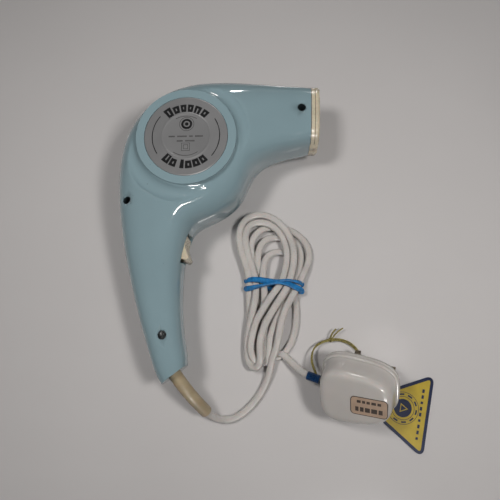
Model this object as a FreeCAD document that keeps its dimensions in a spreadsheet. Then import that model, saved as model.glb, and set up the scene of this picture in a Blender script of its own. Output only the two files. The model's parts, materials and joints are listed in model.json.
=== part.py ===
import FreeCAD, Part
import math
import os
import re
from types import SimpleNamespace

import Sketcher
from FreeCAD import Placement, Rotation, Vector

# A mains hand dryer lying on its intake face, with its flex tied in a hank, its plug and a swing tag.
# Millimetres. X runs towards the outlet, Y away from the handle's end, Z up from the table.
# The origin is under the middle of the housing's box.

SIZES = {
    # Housing plan, measured from the fan's axis
    "fan_x": -22.1,
    "fan_y": 58.8,
    "nozzle_reach": 90.0,
    "drum_back": 53.0,
    "drum_top": 53.0,
    "handle_reach": 172.0,
    # Housing depth
    "body_depth": 69.0,
    "drum_depth": 66.0,
    "nozzle_depth": 44.0,
    "handle_depth": 26.0,
    "wall": 2.4,
    # Raised discs and the moats round them
    "pad_dia": 71.0,
    "pad_floor": 4.0,
    "pad_pocket_dia": 64.0,
    "moat_radius": 7.0,
    "plate_dia": 59.0,
    "plate_thick": 0.9,
    "plate_recess": 0.7,
    "grille_dia": 61.0,
    "grille_thick": 1.9,
    "intake_dia": 53.0,
    "fit_gap": 0.25,
    # Housing screws
    "boss_dia": 9.0,
    "recess_dia": 6.2,
    "screw_head_dia": 5.6,
    "screw_head_thick": 2.0,
    "screw_shank_dia": 3.0,
    "screw_clearance": 0.4,
    "screw_seat": 8.0,
    "screw_bite": 13.0,
    # Outlet ring
    "outlet_length": 6.4,
    "outlet_wall": 3.2,
    "outlet_spigot": 5.0,
    "louvre_thick": 1.6,
    "louvre_length": 4.0,
    "louvre_pitch": 8.0,
    "post_length": 3.0,
    "post_spread": 13.0,
    # Fan and motor
    "shaft_dia": 4.0,
    "shaft_length": 50.0,
    "shaft_base": 11.0,
    "running_gap": 0.04,
    "impeller_dia": 62.0,
    "impeller_base": 10.5,
    "impeller_height": 19.0,
    "impeller_disc": 2.0,
    "blade_thick": 1.2,
    "blade_depth": 8.0,
    "blade_count": 24,
    "rotor_dia": 24.0,
    "air_gap": 0.4,
    "stack_base": 38.0,
    "stack_height": 14.0,
    "stack_width": 46.0,
    "stack_limb": 9.0,
    "stack_reach": 31.0,
    "pole_depth": 4.5,
    "bracket_thick": 3.0,
    "bracket_width": 12.0,
    "bracket_length": 54.0,
    "bracket_gap": 3.0,
    "bush_dia": 8.0,
    "bush_length": 6.0,
    "post_dia": 8.0,
    "motor_screw_dia": 3.0,
    "motor_screw_spread": 19.0,
    "motor_head_thick": 1.8,
    # Heater
    "heater_start": 15.4,
    "heater_length": 38.0,
    "liner_width": 38.0,
    "liner_depth": 34.0,
    "liner_wall": 0.8,
    "liner_corner": 8.0,
    "mica_thick": 0.8,
    "former_width": 24.0,
    "coil_wire": 1.3,
    "coil_turns": 7,
    "cutout_dia": 11.0,
    "cutout_thick": 5.0,
    # Switch
    "rocker_width": 20.0,
    "rocker_gap": 0.5,
    "pivot_dia": 3.0,
    "ear_thick": 2.0,
    "switch_depth": 13.0,
    "switch_length": 22.0,
    # Flex, sleeve and inner wires
    "flex_dia": 5.4,
    "sleeve_dia": 9.4,
    "sleeve_gap": 0.4,
    "wire_dia": 2.0,
    "string_dia": 1.7,
    # Hank
    "hank_height": 15.0,
    "hank_lift": 1.8,
    "band_width": 9.0,
    "band_thick": 1.6,
    # Plug
    "plug_length": 54.0,
    "plug_width": 50.0,
    "plug_taper": 0.26,
    "plug_base_thick": 7.0,
    "plug_height": 25.0,
    "plug_wall": 2.2,
    "pin_spacing": 22.2,
    "pin_thick": 3.95,
    "live_pin_width": 6.35,
    "live_pin_length": 17.7,
    "earth_pin_width": 8.0,
    "earth_pin_length": 22.7,
    "earth_pin_inset": 10.0,
    "fuse_dia": 6.3,
    "fuse_length": 25.4,
    # Tag
    "tag_side": 66.0,
    "tag_corner": 5.0,
    "tag_thick": 0.7,
}

# How the plug lies: turned on the table, then leaned over on its pins.
PLUG_TURN = -3.0
PLUG_LEAN = 37.0
PLUG_LEAN_TOWARDS = 233.0
PLUG_PLACE = (99.9, -109.9)
PLUG_SQUARENESS = 3.2

doc = FreeCAD.newDocument("HairDryer")
sheet = doc.addObject("Spreadsheet::Sheet", "Sizes")
for row, (alias, value) in enumerate(SIZES.items(), start=1):
    sheet.set(f"A{row}", alias)
    sheet.set(f"B{row}", str(value))
    sheet.setAlias(f"B{row}", alias)
doc.recompute()
size = SimpleNamespace(**{alias: float(sheet.get(alias)) for alias in SIZES})

UP = Vector(0, 0, 1)
ALONG_X = Rotation(Vector(0, 1, 0), 90)
UPRIGHT = Rotation()
middle = size.body_depth / 2
fan = Vector(size.fan_x, size.fan_y, 0)
sub_parts = []


# ---------------------------------------------------------------- helpers

def in_sheet(text):
    """Point each size's name in an expression at its cell."""
    def cell(match):
        word = match.group()
        return "Sizes." + word if word in SIZES else word
    return re.sub(r"[a-z][a-z_]*", cell, text)


def bind(part, **expressions):
    for name, text in expressions.items():
        part.setExpression(name, in_sheet(text))
    return part


def named(part, label):
    """Keep a finished piece: its label names its file."""
    part.Label = label
    sub_parts.append(part)
    return part


def cylinder(dia, length, at, turn=UPRIGHT):
    part = doc.addObject("Part::Cylinder", "Round")
    part.Placement = Placement(at, turn)
    return bind(part, Radius=f"({dia}) / 2", Height=length)


def block(length, width, height, centre, turn=UPRIGHT):
    """A box centred on a point, its three sides given as expressions."""
    part = doc.addObject("Part::Box", "Block")
    bind(part, Length=length, Width=width, Height=height)
    doc.recompute([part])
    half = Vector(part.Length.Value, part.Width.Value, part.Height.Value) / 2
    part.Placement = Placement(centre - turn.multVec(half), turn)
    return part


def solid(shape, label="Shape"):
    part = doc.addObject("Part::Feature", label)
    part.Shape = shape
    return part


def joined(*parts):
    if len(parts) == 1:
        return parts[0]
    part = doc.addObject("Part::MultiFuse", "Joined")
    part.Shapes = list(parts)
    return part


def cut(base, *tools):
    part = doc.addObject("Part::Cut", "Cut")
    part.Base = base
    part.Tool = joined(*tools)
    return part


def common(base, tool):
    part = doc.addObject("Part::Common", "Common")
    part.Base = base
    part.Tool = tool
    return part


def group(*parts):
    part = doc.addObject("Part::Compound", "Group")
    part.Links = list(parts)
    return part


def body_with_sketch(name, role="XY_Plane"):
    body = doc.addObject("PartDesign::Body", name)
    return body, sketch_in(body, role)


def sketch_in(body, role="XY_Plane", offset=None):
    sketch = body.newObject("Sketcher::SketchObject", "Sketch")
    plane = next(f for f in body.Origin.OriginFeatures if f.Role == role)
    sketch.AttachmentSupport = [(plane, "")]
    sketch.MapMode = "FlatFace"
    if offset:
        sketch.setExpression("AttachmentOffset.Base.z", in_sheet(offset))
    return sketch


def circle_in(sketch, dia, centre=(0, 0)):
    line = sketch.addGeometry(Part.Circle(Vector(centre[0], centre[1], 0), UP, 10), False)
    if centre == (0, 0):
        sketch.addConstraint(Sketcher.Constraint("Coincident", line, 3, -1, 1))
    else:
        sketch.addConstraint(Sketcher.Constraint("DistanceX", -1, 1, line, 3, centre[0]))
        sketch.addConstraint(Sketcher.Constraint("DistanceY", -1, 1, line, 3, centre[1]))
    number = sketch.addConstraint(Sketcher.Constraint("Diameter", line, 20))
    sketch.setExpression(f"Constraints[{number}]", in_sheet(dia))


def rectangle_in(sketch, left, bottom, width, height):
    """A rectangle whose four sizes are expressions, measured from the sketch's origin."""
    corners = [Vector(1, 1, 0), Vector(5, 1, 0), Vector(5, 4, 0), Vector(1, 4, 0)]
    first = sketch.GeometryCount
    for start, end in zip(corners, corners[1:] + corners[:1]):
        sketch.addGeometry(Part.LineSegment(start, end), False)
    for side in range(4):
        after = first + (side + 1) % 4
        sketch.addConstraint(Sketcher.Constraint("Coincident", first + side, 2, after, 1))
        kind = "Vertical" if side % 2 else "Horizontal"
        sketch.addConstraint(Sketcher.Constraint(kind, first + side))
    for kind, ends, text in (
        ("DistanceX", (first, 1, first, 2), width),
        ("DistanceY", (first + 1, 1, first + 1, 2), height),
        ("DistanceX", (-1, 1, first, 1), left),
        ("DistanceY", (-1, 1, first, 1), bottom),
    ):
        number = sketch.addConstraint(Sketcher.Constraint(kind, *ends, 3.0))
        sketch.setExpression(f"Constraints[{number}]", in_sheet(text))


def pad(body, sketch, length, reverse=False):
    feature = body.newObject("PartDesign::Pad", "Pad")
    feature.Profile = sketch
    feature.Reversed = reverse
    bind(feature, Length=length)
    doc.recompute()
    return feature


def pocket_through(body, sketch):
    feature = body.newObject("PartDesign::Pocket", "Pocket")
    feature.Profile = sketch
    feature.Type = "ThroughAll"
    feature.Midplane = True
    doc.recompute()
    return feature


def polar(body, feature, count):
    pattern = body.newObject("PartDesign::PolarPattern", "Pattern")
    pattern.Originals = [feature]
    axis = next(f for f in body.Origin.OriginFeatures if f.Role == "Z_Axis")
    pattern.Axis = (axis, [""])
    bind(pattern, Occurrences=count)
    body.Tip = pattern
    doc.recompute()
    return pattern


def rounded_route(points):
    """Straight runs joined by tangent arcs, each arc as large as its two runs allow."""
    edges = []
    radii = []
    start = points[0]
    for before, corner, after in zip(points, points[1:], points[2:]):
        way_in = (corner - before).normalize()
        way_out = (after - corner).normalize()
        half_turn = way_in.getAngle(way_out) / 2
        trim = 0.45 * min((corner - before).Length, (after - corner).Length)
        radius = trim / math.tan(half_turn)
        inward = (way_out - way_in).normalize()
        arc_start = corner - way_in * trim
        arc_middle = corner + inward * (radius / math.cos(half_turn) - radius)
        arc_end = corner + way_out * trim
        edges.append(Part.LineSegment(start, arc_start).toShape())
        edges.append(Part.Arc(arc_start, arc_middle, arc_end).toShape())
        start = arc_end
        radii.append(radius)
    edges.append(Part.LineSegment(start, points[-1]).toShape())
    return Part.Wire(edges), radii


def tube(points, dia, told=None):
    """A round tube along a route, its volume compared with its section times its length."""
    path, radii = rounded_route(points)
    ring = Part.Circle(points[0], points[1] - points[0], dia / 2)
    shape = path.makePipeShell([Part.Wire(ring.toShape())], True, False)
    expected = math.pi * dia * dia / 4 * path.Length
    if told:
        print(told, "length", round(path.Length, 1), "radii", [round(r, 1) for r in radii])
        print(told, "volume", round(shape.Volume, 1), "section x length", round(expected, 1))
    if abs(shape.Volume / expected - 1) > 0.01:
        raise RuntimeError(f"{told or 'tube'} has the wrong volume")
    return shape


def vectors(points):
    return [Vector(x, y, z) for x, y, z in points]


def upright_edges(shape):
    return [edge for edge in shape.Edges if abs(edge.tangentAt(edge.FirstParameter).z) > 0.9]


# ---------------------------------------------------------------- housing form

# Facing points on the housing's outline, from the fan's axis: the back edge, then the edge that
# faces the hand. Then how much of the drum's depth the section has, and how square it is.
STATIONS = [
    ((90.0, 48.3), (88.9, 2.6), 0.00, 3.4),
    ((71.5, 50.2), (71.7, -1.3), 0.10, 3.3),
    ((56.7, 51.4), (58.6, -6.1), 0.27, 3.2),
    ((40.5, 52.3), (48.5, -14.2), 0.55, 3.1),
    ((22.8, 52.9), (43.1, -24.1), 0.82, 3.0),
    ((2.7, 51.9), (37.8, -35.3), 0.96, 3.0),
    ((-18.5, 45.4), (30.2, -44.2), 1.00, 3.0),
    ((-36.8, 30.7), (20.5, -50.7), 1.00, 3.0),
    ((-48.3, 10.2), (11.6, -54.8), 0.98, 3.0),
    ((-52.9, -13.2), (4.5, -59.1), 0.91, 2.9),
    ((-53.2, -33.8), (0.2, -65.1), 0.78, 2.8),
    ((-51.2, -55.5), (-2.7, -74.6), 0.61, 2.7),
    ((-47.7, -76.6), (-4.3, -85.0), 0.44, 2.6),
    ((-42.5, -99.3), (-5.2, -101.2), 0.30, 2.5),
    ((-35.4, -124.6), (-4.8, -121.3), 0.19, 2.5),
    ((-27.8, -147.9), (-2.7, -140.3), 0.11, 2.5),
    ((-21.3, -164.8), (-0.6, -152.9), 0.05, 2.5),
    ((-17.5, -170.7), (-0.5, -157.7), 0.00, 2.5),
]
PLAN = SimpleNamespace(right=90.0, left=53.0, up=53.0, down=172.0)
WIDEST = 7
SECTION_POINTS = 24


def plan_point(dx, dy, z=0.0):
    """A place in the housing's plan, which stretches with its four driving reaches."""
    across = size.nozzle_reach / PLAN.right if dx > 0 else size.drum_back / PLAN.left
    along = size.drum_top / PLAN.up if dy > 0 else size.handle_reach / PLAN.down
    return fan + Vector(dx * across, dy * along, z)


def rounded_square(squareness):
    """Points round a unit square with rounded corners; the last repeats the first."""
    for step in range(SECTION_POINTS + 1):
        angle = 2 * math.pi * (step % SECTION_POINTS) / SECTION_POINTS
        across, up = math.cos(angle), math.sin(angle)
        power = 2 / squareness
        yield math.copysign(abs(across) ** power, across), math.copysign(abs(up) ** power, up)


def station_frame(station):
    """The middle, the half width, the half depth and the direction across one section."""
    back, front, share, _square = station
    back = plan_point(*back)
    front = plan_point(*front)
    ends_at = size.nozzle_depth if STATIONS.index(station) < WIDEST else size.handle_depth
    half_depth = (ends_at + share * (size.drum_depth - ends_at)) / 2
    across = front - back
    return (back + front) / 2, across.Length / 2, half_depth, across.normalize()


def section(station, inset=0.0, shift=Vector()):
    """The points of one rounded section, which ends where it starts."""
    centre, half_width, half_depth, across = station_frame(station)
    points = []
    for side, rise in rounded_square(station[3]):
        point = centre + across * (side * (half_width - inset)) + shift
        points.append(point + UP * (middle + rise * (half_depth - inset)))
    return points


def skinned(rows):
    """A solid with one smooth skin through rows of points, capped flat at both ends."""
    skin = Part.BSplineSurface()
    skin.interpolate(rows)
    skin = skin.toShape()
    caps = [Part.Face(Part.Wire([edge])) for edge in skin.Edges if edge.isClosed()]
    shell = Part.Shell(skin.Faces + caps)
    shell.sewShape(0.001)
    return Part.Solid(shell)


mouth_side = Vector(size.outlet_length, 0, 0)
housing_form = solid(skinned([section(s) for s in STATIONS]), "HousingForm")
hollow_rows = [section(STATIONS[0], size.wall, mouth_side)]
hollow_rows += [section(s, size.wall) for s in STATIONS[:-1]]
housing_hollow = solid(skinned(hollow_rows), "HousingHollow")

pads = cylinder("pad_dia", "body_depth", fan)
moats = []
for level in (size.body_depth + 0.5, -0.5):
    moat = doc.addObject("Part::Torus", "Moat")
    moat.Placement = Placement(fan + UP * level, UPRIGHT)
    moats.append(bind(moat, Radius1="pad_dia / 2 + moat_radius", Radius2="moat_radius"))
outer_form = cut(joined(housing_form, pads), *moats)

moat_floor = size.moat_radius - 0.5 + size.wall
moat_backs = []
for level in (size.body_depth - moat_floor, moat_floor - size.moat_radius - 10):
    moat_backs.append(cylinder("pad_dia + 4 * moat_radius + 2", "moat_radius + 10", fan + UP * level))
pocket = cylinder("pad_pocket_dia", "body_depth - pad_floor - wall - 0.2", fan + UP * size.pad_floor)
hollow = joined(cut(housing_hollow, *moat_backs), pocket)
walls = cut(outer_form, hollow)

# ---------------------------------------------------------------- screw bosses and openings

screw_places = [
    plan_point(82.5, 27.0),
    plan_point(-42.5, -43.3),
    plan_point(-16.1, -137.2),
]
post_places = [fan + Vector(side * (size.bracket_length / 2 - 4), 0, 0) for side in (-1, 1)]
bracket_top = size.stack_base + size.stack_height + size.bracket_gap + size.bracket_thick
bosses = [cylinder("boss_dia", "body_depth", place) for place in screw_places]
bosses += [cylinder("post_dia", "body_depth / 2", place + UP * bracket_top) for place in post_places]
filled = joined(walls, common(joined(*bosses), outer_form))

upper_openings = []
lower_openings = []
for place in screw_places:
    seat = place + UP * (middle + size.screw_seat)
    upper_openings.append(cylinder("recess_dia", "body_depth", seat))
    upper_openings.append(
        cylinder("screw_shank_dia + screw_clearance", "screw_seat + 4", place + UP * (middle - 3)))
    pilot = place + UP * (middle - size.screw_bite)
    lower_openings.append(cylinder("screw_shank_dia", "screw_bite + 3", pilot))
for place in post_places:
    upper_openings.append(cylinder("motor_screw_dia", "7", place + UP * (bracket_top - 1)))
plate_seat = size.body_depth - size.plate_recess
upper_openings.append(cylinder("plate_dia + 2 * fit_gap", "5", fan + UP * plate_seat))
lower_openings.append(cylinder("grille_dia + 2 * fit_gap", "grille_thick + 5.3", fan - UP * 5))
lower_openings.append(cylinder("intake_dia", "pad_floor + 10", fan - UP * 5))

rocker_pivot = plan_point(-11.5, -74.7, middle)
slot_place = rocker_pivot + Vector(10, -0.7, 0)

# The flex leaves square to the slanted end of the handle and droops to the table.
end_centre, _half, _depth, end_across = station_frame(STATIONS[-1])
end_out = end_across.cross(UP)
end_hole = end_centre - end_out * 12 + UP * middle


def shared_openings():
    """The switch's slot and the flex's hole, which the seam between the shells divides."""
    slot = block("20", "switch_length - 0.6", "rocker_width + 2 * rocker_gap", slot_place)
    hole = cylinder("sleeve_dia + 2 * sleeve_gap", "30", end_hole, Rotation(UP, end_out))
    return [slot, hole]


upper_half = block("600", "600", "200", Vector(0, 0, middle + 100))
lower_half = block("600", "600", "200", Vector(0, 0, middle - 100))
named(cut(common(filled, upper_half), *upper_openings, *shared_openings()), "badge_side_shell")
named(cut(common(filled, lower_half), *lower_openings, *shared_openings()), "intake_side_shell")

# ---------------------------------------------------------------- badge, intake grille, outlet

body, sketch = body_with_sketch("PlateBody")
circle_in(sketch, "plate_dia")
pad(body, sketch, "plate_thick")
sketch = sketch_in(body, offset="plate_thick")
circle_in(sketch, "plate_dia * 0.6")
circle_in(sketch, "plate_dia * 0.6 - 1.2")
pad(body, sketch, "0.3")
body.Placement = Placement(fan + UP * plate_seat, UPRIGHT)
named(body, "badge_plate")

body, sketch = body_with_sketch("GrilleBody")
circle_in(sketch, "grille_dia")
pad(body, sketch, "grille_thick")
sketch = sketch_in(body)
rectangle_in(sketch, "8", "-1.3", "15", "2.6")
slot = pocket_through(body, sketch)
polar(body, slot, "16")
body.Placement = Placement(fan + UP * 0.3, UPRIGHT)
named(body, "intake_grille")

ring_end = Vector(size.outlet_length, 0, 0)
ring_outside = skinned([
    section(STATIONS[0], 0.0, ring_end * share) for share in (0.0, 0.4, 0.8)
] + [section(STATIONS[0], 1.0, ring_end)])
ring_reach = [-1.0, -0.6, 0.2, 1.2]
ring_inside = skinned([
    section(STATIONS[0], size.outlet_wall, ring_end * share) for share in ring_reach
])
spigot_gap = size.wall + size.fit_gap + 0.7
spigot_back = Vector(-size.outlet_spigot, 0, 0)
spigot_outside = skinned([
    section(STATIONS[0], spigot_gap + 0.3, spigot_back),
    section(STATIONS[0], spigot_gap, spigot_back * 0.5),
    section(STATIONS[0], spigot_gap, ring_end * 0.3),
    section(STATIONS[0], spigot_gap, ring_end * 0.6),
])
outlet_frame = cut(joined(solid(ring_outside), solid(spigot_outside)), solid(ring_inside))
ring_middle = station_frame(STATIONS[0])[0] + Vector(0, 0, middle)
mouth_width = str(2 * station_frame(STATIONS[0])[1])
bar_middle = ring_middle + ring_end * 0.35
louvres = [
    block("louvre_length", mouth_width, "louvre_thick", bar_middle + UP * (step * size.louvre_pitch))
    for step in (-1.5, -0.5, 0.5, 1.5)
]
louvres += [
    block("post_length", "louvre_thick", "nozzle_depth", bar_middle + Vector(0, side * size.post_spread, 0))
    for side in (-1, 1)
]
bar_root = 0.8
bar_limits = solid(skinned([
    section(STATIONS[0], size.outlet_wall - bar_root, ring_end * share) for share in (-0.5, 0.0, 0.5, 0.9)
]))
bars = common(joined(*louvres), bar_limits)
named(joined(outlet_frame, bars), "outlet_ring")

screws = []
for place in screw_places:
    seat = place + UP * (middle + size.screw_seat)
    head = cylinder("screw_head_dia", "screw_head_thick", seat)
    shank_low = place + UP * (middle - size.screw_bite + 1)
    shank = cylinder("screw_shank_dia", "screw_seat + screw_bite - 1", shank_low)
    top = seat + UP * size.screw_head_thick
    crosses = [block("4", "0.8", "2", top, Rotation(UP, angle)) for angle in (20, 110)]
    screws.append(cut(joined(head, shank), *crosses))
named(group(*screws), "housing_screws")

# ---------------------------------------------------------------- fan and motor

body, sketch = body_with_sketch("ImpellerBody")
circle_in(sketch, "impeller_dia")
circle_in(sketch, "impeller_dia - 2 * blade_depth")
pad(body, sketch, "impeller_disc")
sketch = sketch_in(body, offset="impeller_disc - 0.2")
rectangle_in(sketch, "impeller_dia / 2 - blade_depth + 0.3", "0 - blade_thick / 2", "blade_depth - 0.8",
             "blade_thick")
blade = pad(body, sketch, "impeller_height - 2 * impeller_disc + 0.4")
polar(body, blade, "blade_count")
sketch = sketch_in(body, offset="impeller_height - impeller_disc")
circle_in(sketch, "impeller_dia")
circle_in(sketch, "shaft_dia")
pad(body, sketch, "impeller_disc")
sketch = sketch_in(body, offset="impeller_height - impeller_disc - 8")
circle_in(sketch, "3 * shaft_dia")
circle_in(sketch, "shaft_dia")
pad(body, sketch, "9")
body.Placement = Placement(fan + UP * size.impeller_base, UPRIGHT)
named(body, "fan_impeller")

body, sketch = body_with_sketch("ShaftBody")
circle_in(sketch, "shaft_dia")
pad(body, sketch, "shaft_length")
body.Placement = Placement(fan + UP * size.shaft_base, UPRIGHT)
named(body, "motor_shaft")

body, sketch = body_with_sketch("RotorBody")
circle_in(sketch, "rotor_dia")
circle_in(sketch, "shaft_dia")
pad(body, sketch, "stack_height")
body.Placement = Placement(fan + UP * size.stack_base, UPRIGHT)
named(body, "rotor_core")

clip_place = fan + UP * (size.impeller_base + size.impeller_height - size.impeller_disc - 9.2)
clip = cut(cylinder("2 * shaft_dia", "1.2", clip_place), cylinder("shaft_dia", "4", clip_place - UP))
named(clip, "impeller_clip")

body, sketch = body_with_sketch("StackBody")
rectangle_in(sketch, "0 - stack_width / 2", "0 - stack_width / 2 + 3", "stack_width",
             "stack_width / 2 - 3 + stack_reach")
pad(body, sketch, "stack_height")
sketch = sketch_in(body)
circle_in(sketch, "rotor_dia + 2 * air_gap")
pocket_through(body, sketch)
sketch = sketch_in(body)
rectangle_in(sketch, "0 - stack_width / 2 + stack_limb", "rotor_dia / 2 + pole_depth",
             "stack_width - 2 * stack_limb", "stack_reach - stack_limb - rotor_dia / 2 - pole_depth")
pocket_through(body, sketch)
body.Placement = Placement(fan + UP * size.stack_base, UPRIGHT)
stack_holes = []
motor_screw_places = []
for side in (-1, 1):
    place = fan + Vector(side * size.motor_screw_spread, -14, 0)
    motor_screw_places.append(place)
    hole_low = place + UP * (size.stack_base - 2)
    stack_holes.append(cylinder("motor_screw_dia + screw_clearance", "stack_height + 4", hole_low))
named(cut(body, *stack_holes), "motor_laminations")

stack_middle = size.stack_base + size.stack_height / 2
coil_middle = fan + Vector(0, size.stack_reach - size.stack_limb / 2, stack_middle)
coil_form = block("stack_width - 2 * stack_limb - 1", "stack_limb + 8.4", "stack_height + 9", coil_middle)
coil_round = doc.addObject("Part::Fillet", "CoilRound")
coil_round.Base = coil_form
doc.recompute()
coil_round.Edges = [
    (number, 3.0, 3.0) for number, edge in enumerate(coil_form.Shape.Edges, start=1)
    if abs(edge.tangentAt(edge.FirstParameter).x) > 0.9
]
coil_core = block("stack_width", "stack_limb", "stack_height", coil_middle)
named(cut(coil_round, coil_core), "motor_coil")

shading = []
for side in (-1, 1):
    place = fan + Vector(side * 17.5, 5.5, stack_middle)
    outer_loop = block("stack_width / 2 - rotor_dia / 2 - 1.2", "3", "stack_height + 3", place)
    inner_loop = block("30", "4", "stack_height", place)
    shading.append(cut(outer_loop, inner_loop))
named(group(*shading), "shading_rings")

bush_places = {}
for end, base in (
    ("fan_end", size.stack_base - size.bracket_gap - size.bracket_thick),
    ("badge_end", size.stack_base + size.stack_height + size.bracket_gap),
):
    bracket_middle = fan + UP * (base + size.bracket_thick / 2)
    across = block("bracket_length", "bracket_width", "bracket_thick", bracket_middle)
    arms = []
    holes = [cylinder("bush_dia", "bracket_thick + 4", fan + UP * (base - 2))]
    for place in motor_screw_places:
        arm_at = place + Vector(0, 3, base + size.bracket_thick / 2)
        arms.append(block("8", "14", "bracket_thick", arm_at))
        holes.append(cylinder("motor_screw_dia", "bracket_thick + 4", place + UP * (base - 2)))
    for place in post_places:
        holes.append(cylinder("motor_screw_dia", "bracket_thick + 4", place + UP * (base - 2)))
    named(cut(joined(across, *arms), *holes), f"motor_bracket_{end}")
    bush_base = fan + UP * (base + size.bracket_thick / 2 - size.bush_length / 2)
    bush = cylinder("bush_dia", "bush_length", bush_base)
    bore = cylinder("shaft_dia + 2 * running_gap", "bush_length + 2", bush_base - UP)
    named(cut(bush, bore), f"bearing_bush_{end}")

CLAMPED = "stack_height + 2 * bracket_gap + 2 * bracket_thick"
spacers = []
screws = []
for place in motor_screw_places:
    for base in (size.stack_base - size.bracket_gap, size.stack_base + size.stack_height):
        tube_outside = cylinder("2 * motor_screw_dia", "bracket_gap", place + UP * base)
        tube_bore = cylinder("motor_screw_dia", "bracket_gap + 2", place + UP * (base - 1))
        spacers.append(cut(tube_outside, tube_bore))
    low = size.stack_base - size.bracket_gap - size.bracket_thick
    shank = cylinder("motor_screw_dia", CLAMPED, place + UP * low)
    head = cylinder("2 * motor_screw_dia", "motor_head_thick", place + UP * bracket_top)
    screws.append(joined(shank, head))
named(group(*spacers), "motor_spacers")
named(group(*screws), "motor_clamp_screws")

screws = []
for place in post_places:
    low = bracket_top - size.bracket_thick
    shank = cylinder("motor_screw_dia", "bracket_thick + 5", place + UP * low)
    head = cylinder("2 * motor_screw_dia", "motor_head_thick", place + UP * (low - size.motor_head_thick))
    screws.append(joined(shank, head))
named(group(*screws), "motor_mount_screws")

# ---------------------------------------------------------------- heater

nozzle_middle, _half, _depth, _across = station_frame(STATIONS[1])
heater = Vector(size.heater_start + size.heater_length / 2, nozzle_middle.y, middle)


def rounded_tube(length, width, depth, corner, wall, centre):
    """A rounded rectangular tube along X."""
    shells = []
    for inset in (0.0, wall):
        box = Part.makeBox(length, width - 2 * inset, depth - 2 * inset,
                           centre - Vector(length, width - 2 * inset, depth - 2 * inset) / 2)
        long_edges = [e for e in box.Edges if abs(e.tangentAt(e.FirstParameter).x) > 0.9]
        shells.append(box.makeFillet(corner - inset, long_edges))
    return shells[0].cut(shells[1])


named(solid(rounded_tube(size.heater_length, size.liner_width, size.liner_depth, size.liner_corner,
                         size.liner_wall, heater)), "heater_liner")

flat_wide = size.liner_width - 2 * size.liner_wall
tall_wide = size.liner_depth - 2 * size.liner_wall
for label, turn, full in (
    ("mica_board_flat", Rotation(), flat_wide),
    ("mica_board_upright", Rotation(Vector(1, 0, 0), 90), tall_wide),
):
    board = block("heater_length", "former_width", "mica_thick", heater, turn)
    ends = []
    for side in (-1, 1):
        at = heater + Vector(side * (size.heater_length / 2 - 1.5), 0, 0)
        ends.append(block("3", str(full), "mica_thick", at, turn))
    half_slot = heater + Vector((0.25 if full == flat_wide else -0.25) * size.heater_length, 0, 0)
    slot = block("heater_length / 2", "mica_thick", "4 * mica_thick", half_slot, turn)
    named(cut(joined(board, *ends), slot), label)

# The element is rings of wire round the boards, joined along one side by a straight lead.
coil_length = size.heater_length - 9
coil_reach = (size.former_width + size.coil_wire) / 2 + 0.2
coil_pitch = coil_length / (size.coil_turns - 1)
coil_start = heater - Vector(coil_length / 2, 0, 0)
lead_side = Vector(0, 1, 1).normalize() * coil_reach
element = [cylinder("coil_wire", str(coil_length), coil_start + lead_side, ALONG_X)]
for turn in range(int(size.coil_turns)):
    ring = doc.addObject("Part::Torus", "CoilRing")
    ring.Placement = Placement(coil_start + Vector(turn * coil_pitch, 0, 0), ALONG_X)
    element.append(bind(ring, Radius1="(former_width + coil_wire) / 2 + 0.2", Radius2="coil_wire / 2"))
named(joined(*element), "heating_coil")

cutout_reach = 7.2
cutout_place = Vector(size.heater_start - cutout_reach, heater.y, middle - size.cutout_thick / 2)
cutout_strip_middle = cutout_place + Vector(cutout_reach / 2, 0, size.cutout_thick / 2)
cutout_strip = block(str(cutout_reach), "cutout_thick", "mica_thick", cutout_strip_middle)
named(joined(cylinder("cutout_dia", "cutout_thick", cutout_place), cutout_strip), "thermal_cutout")

# ---------------------------------------------------------------- switch

rocker_half = size.rocker_width / 2
# The rocker's side view, from its pivot: the upper end is pressed in, the lower end stands out.
ROCKER = [
    (10.0, 9.0), (8.6, 0.5), (11.6, -7.5), (9.6, -9.4),
    (4.0, -8.0), (-2.0, -3.2), (-2.6, 2.4), (4.0, 7.4),
]
outline = [rocker_pivot + Vector(x, y, -rocker_half) for x, y in ROCKER]
face = Part.Face(Part.makePolygon(outline + outline[:1]))
rocker = face.extrude(UP * size.rocker_width)
rocker_edges = [
    e for e in rocker.Edges
    if all((v.Point - rocker_pivot).x > 8 for v in e.Vertexes) or
    (abs(e.tangentAt(e.FirstParameter).z) > 0.9 and e.CenterOfMass.x - rocker_pivot.x > 3)
]
rocker = rocker.makeFillet(0.7, rocker_edges)
pivot_bore = Part.makeCylinder(size.pivot_dia / 2 + size.running_gap, 40, rocker_pivot - UP * 20)
named(solid(rocker.cut(pivot_bore)), "switch_rocker")

ear_z = rocker_half + size.rocker_gap + size.ear_thick / 2
switch_middle = rocker_pivot + Vector(-4.2 - size.switch_depth / 2, -1, 0)
switch_height = "rocker_width + 2 * rocker_gap + 2 * ear_thick"
switch_box = block("switch_depth", "switch_length - 2", switch_height, switch_middle)
ears = [
    block("7.4", "7", "ear_thick", rocker_pivot + Vector(-1.2, 0, side * ear_z)) for side in (-1, 1)
]
pin_low = rocker_pivot - UP * (ear_z + size.ear_thick / 2)
ear_hole = cylinder("pivot_dia", "60", rocker_pivot - UP * 30)
named(cut(joined(switch_box, *ears), ear_hole), "switch_body")
named(cylinder("pivot_dia", switch_height, pin_low), "switch_pivot_pin")
switch_back = switch_middle - Vector(size.switch_depth / 2, 0, 0)
TAB_STEPS = (-6.5, 0, 6.5)
TAB_LENGTH = 5.0
tabs = [
    block(str(TAB_LENGTH), "4", "0.8", switch_back + Vector(-TAB_LENGTH / 2, step, 0)) for step in TAB_STEPS
]
terminals = named(group(*tabs), "switch_terminals")

# ---------------------------------------------------------------- flex, sleeve and inner wires

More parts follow.
